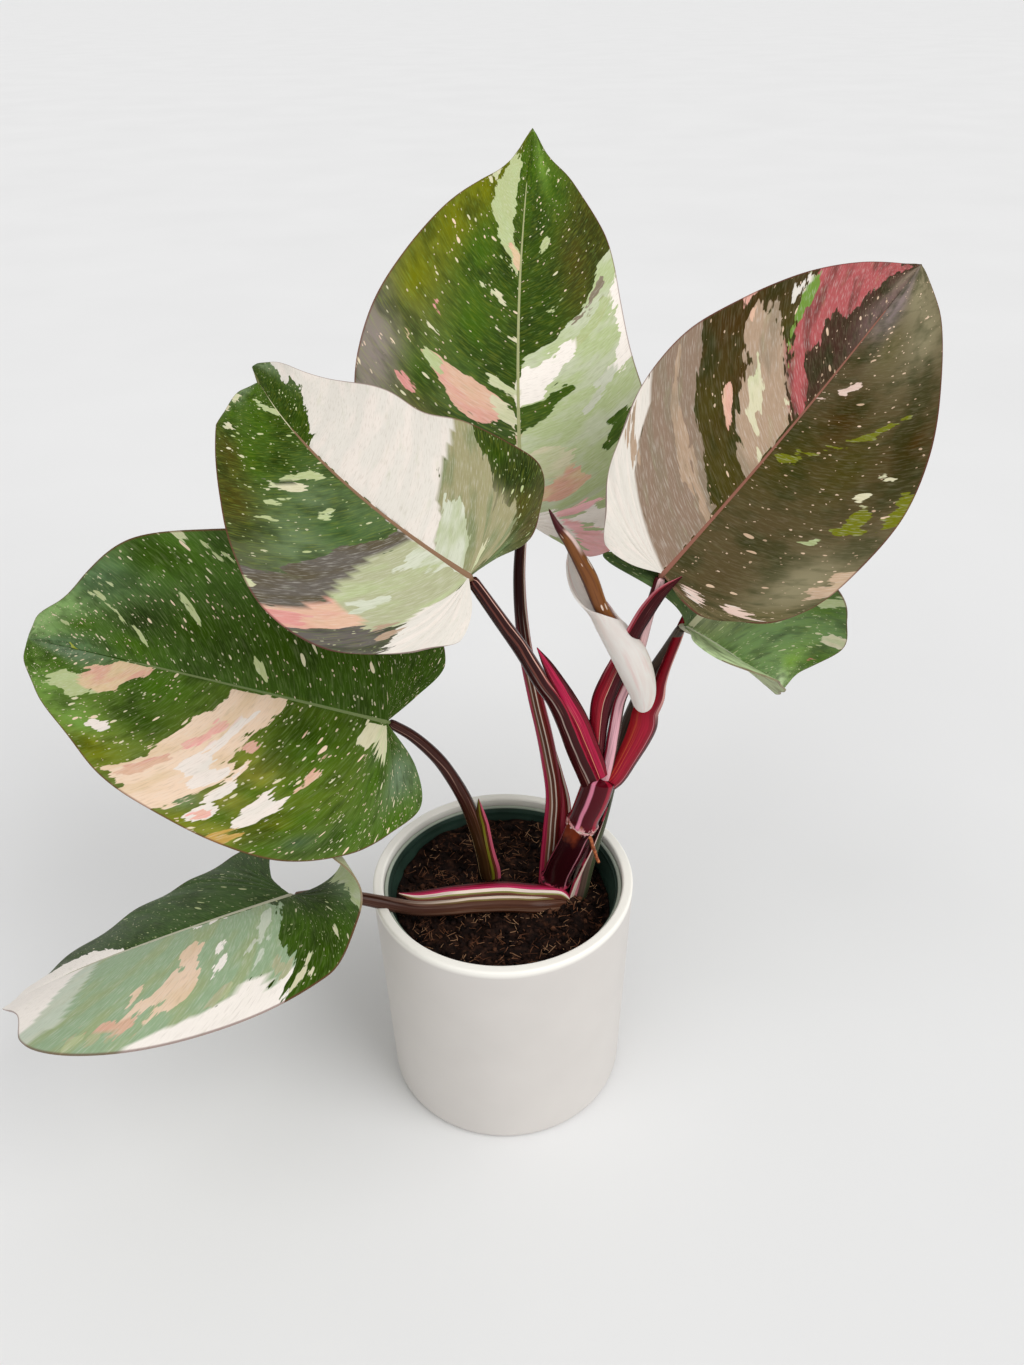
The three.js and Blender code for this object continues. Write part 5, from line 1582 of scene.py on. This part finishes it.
def soil_place(u, v):
    share = np.clip(v / TOP_SHARE, 0, 1)
    turn = 2 * np.pi * u
    out = soil_reach(SOIL_LEVEL - 14) * share
    x, y = out * np.cos(turn), out * np.sin(turn)
    clods = np.array([field.fractal(Vector((a, b, 0.0)) * 0.11, 0.7, 2.2, 6) for a, b in zip(x, y)])
    top = soil_height(x, y) + 1.5 * np.clip(clods, -1.2, 1.4) * smooth_step(1.0, 0.93, share)
    z = np.where(v > 0.96, BOTTOM + NURSERY_WALL + SOIL_GAP, top)
    r = soil_reach(z) * share * np.where(v > 0.999, 0, 1)
    return np.stack([r * np.cos(turn), r * np.sin(turn), z], 1)


soil = drape("soil", 200, 100, soil_place)
close(soil)
peat = Recipe("peat")
dark = peat.noise(peat.place(), 260.0, 5.0)
peat_colour = peat.ramp(dark, (0.3, "0c0605"), (0.48, "1a0f0b"), (0.6, "2c1a13"), (0.75, "463022"))
peat.bump(dark, 0.8, 0.002)
soil.data.materials.append(peat.finish(peat_colour, 0.85, 0.1))
print("soil faces:", len(soil.data.polygons))

# %% [markdown]
# ## Crumbs and fibres
# Crumbs and pale fibres lie on the peat. One crumb and one fibre are modelled and repeated by an array,
# and every copy then gets its own place, size and turn. The draws are seeded, so they are the same each
# time.

# %% Crumbs and fibres
CRUMBS, CRUMB_SIZES = 2600, (0.35, 1.9)
FIBRES, FIBRE_LENGTHS = 620, (1.5, 6.5)
random = np.random.default_rng(7)


def scatter(obj, count, size, place):
    points = np.empty(3 * len(obj.data.vertices))
    obj.data.vertices.foreach_get("co", points)
    shape = points.reshape(-1, 3)
    modify(obj, "ARRAY", count=count, use_relative_offset=False)
    copies = np.concatenate([place(shape, *size) for _ in range(count)]) / 1000
    obj.data.vertices.foreach_set("co", copies.ravel())
    obj.data.update()


def soil_spot(reach):
    r, turn = reach * math.sqrt(random.random()), random.uniform(0, 2 * math.pi)
    x, y = r * math.cos(turn), r * math.sin(turn)
    return x, y, float(soil_height(np.array(x), np.array(y)))


def turned_by(about_z, about_x):
    return np.array(Matrix.Rotation(about_z, 3, "Z") @ Matrix.Rotation(about_x, 3, "X")).T


def crumb_place(shape, small, large):
    x, y, z = soil_spot(58)
    size = small + (large - small) * random.random() ** 3
    rough = shape * (1 + random.uniform(-0.25, 0.25, (len(shape), 1))) * size * random.uniform(0.6, 1.2, 3)
    return rough @ turned_by(random.uniform(0, 6.3), random.uniform(-0.6, 0.6)) + (x, y, z + 0.3 * size)


def fibre_place(shape, short, long):
    x, y, z = soil_spot(55)
    length = random.uniform(short, long)
    thick = random.uniform(0.1, 0.22)
    s = shape[:, 2]
    bend = random.uniform(-0.35, 0.35) * length
    strand = np.stack([shape[:, 0] * thick + bend * s ** 2, shape[:, 1] * thick, s * length], 1)
    turn = turned_by(random.uniform(0, 6.3), math.pi / 2 + random.uniform(-0.25, 0.25))
    return strand @ turn + (x, y, z + 1.0)


bpy.ops.mesh.primitive_ico_sphere_add(subdivisions=1, radius=1)
crumbs = bpy.context.active_object
scatter(crumbs, CRUMBS, CRUMB_SIZES, crumb_place)
bpy.ops.mesh.primitive_cylinder_add(vertices=5, radius=1, depth=1)
fibres = bpy.context.active_object
edit_all(fibres, bpy.ops.mesh.subdivide, number_cuts=1)
scatter(fibres, FIBRES, FIBRE_LENGTHS, fibre_place)

crumb_skin = Recipe("crumb_skin")
shade = crumb_skin.noise(crumb_skin.place(), 150.0, 4.0)
crumb_colour = crumb_skin.ramp(shade, (0.34, "0a0504"), (0.48, "180d0a"), (0.58, "2e1b13"), (0.7, "5c3a28"))
crumbs.data.materials.append(crumb_skin.finish(crumb_colour, 0.8, 0.1))
straw = Recipe("straw")
tone = straw.noise(straw.place(), 80.0)
straw_colour = straw.ramp(tone, (0.35, "3a2116"), (0.5, "6e4630"), (0.68, "b08a68"))
fibres.data.materials.append(straw.finish(straw_colour, 0.7, 0.1))
join(soil, crumbs, fibres)
complete(soil, "potting_soil", angle=60)

# %% [markdown]
# ## End

# %% End
print("end of script")
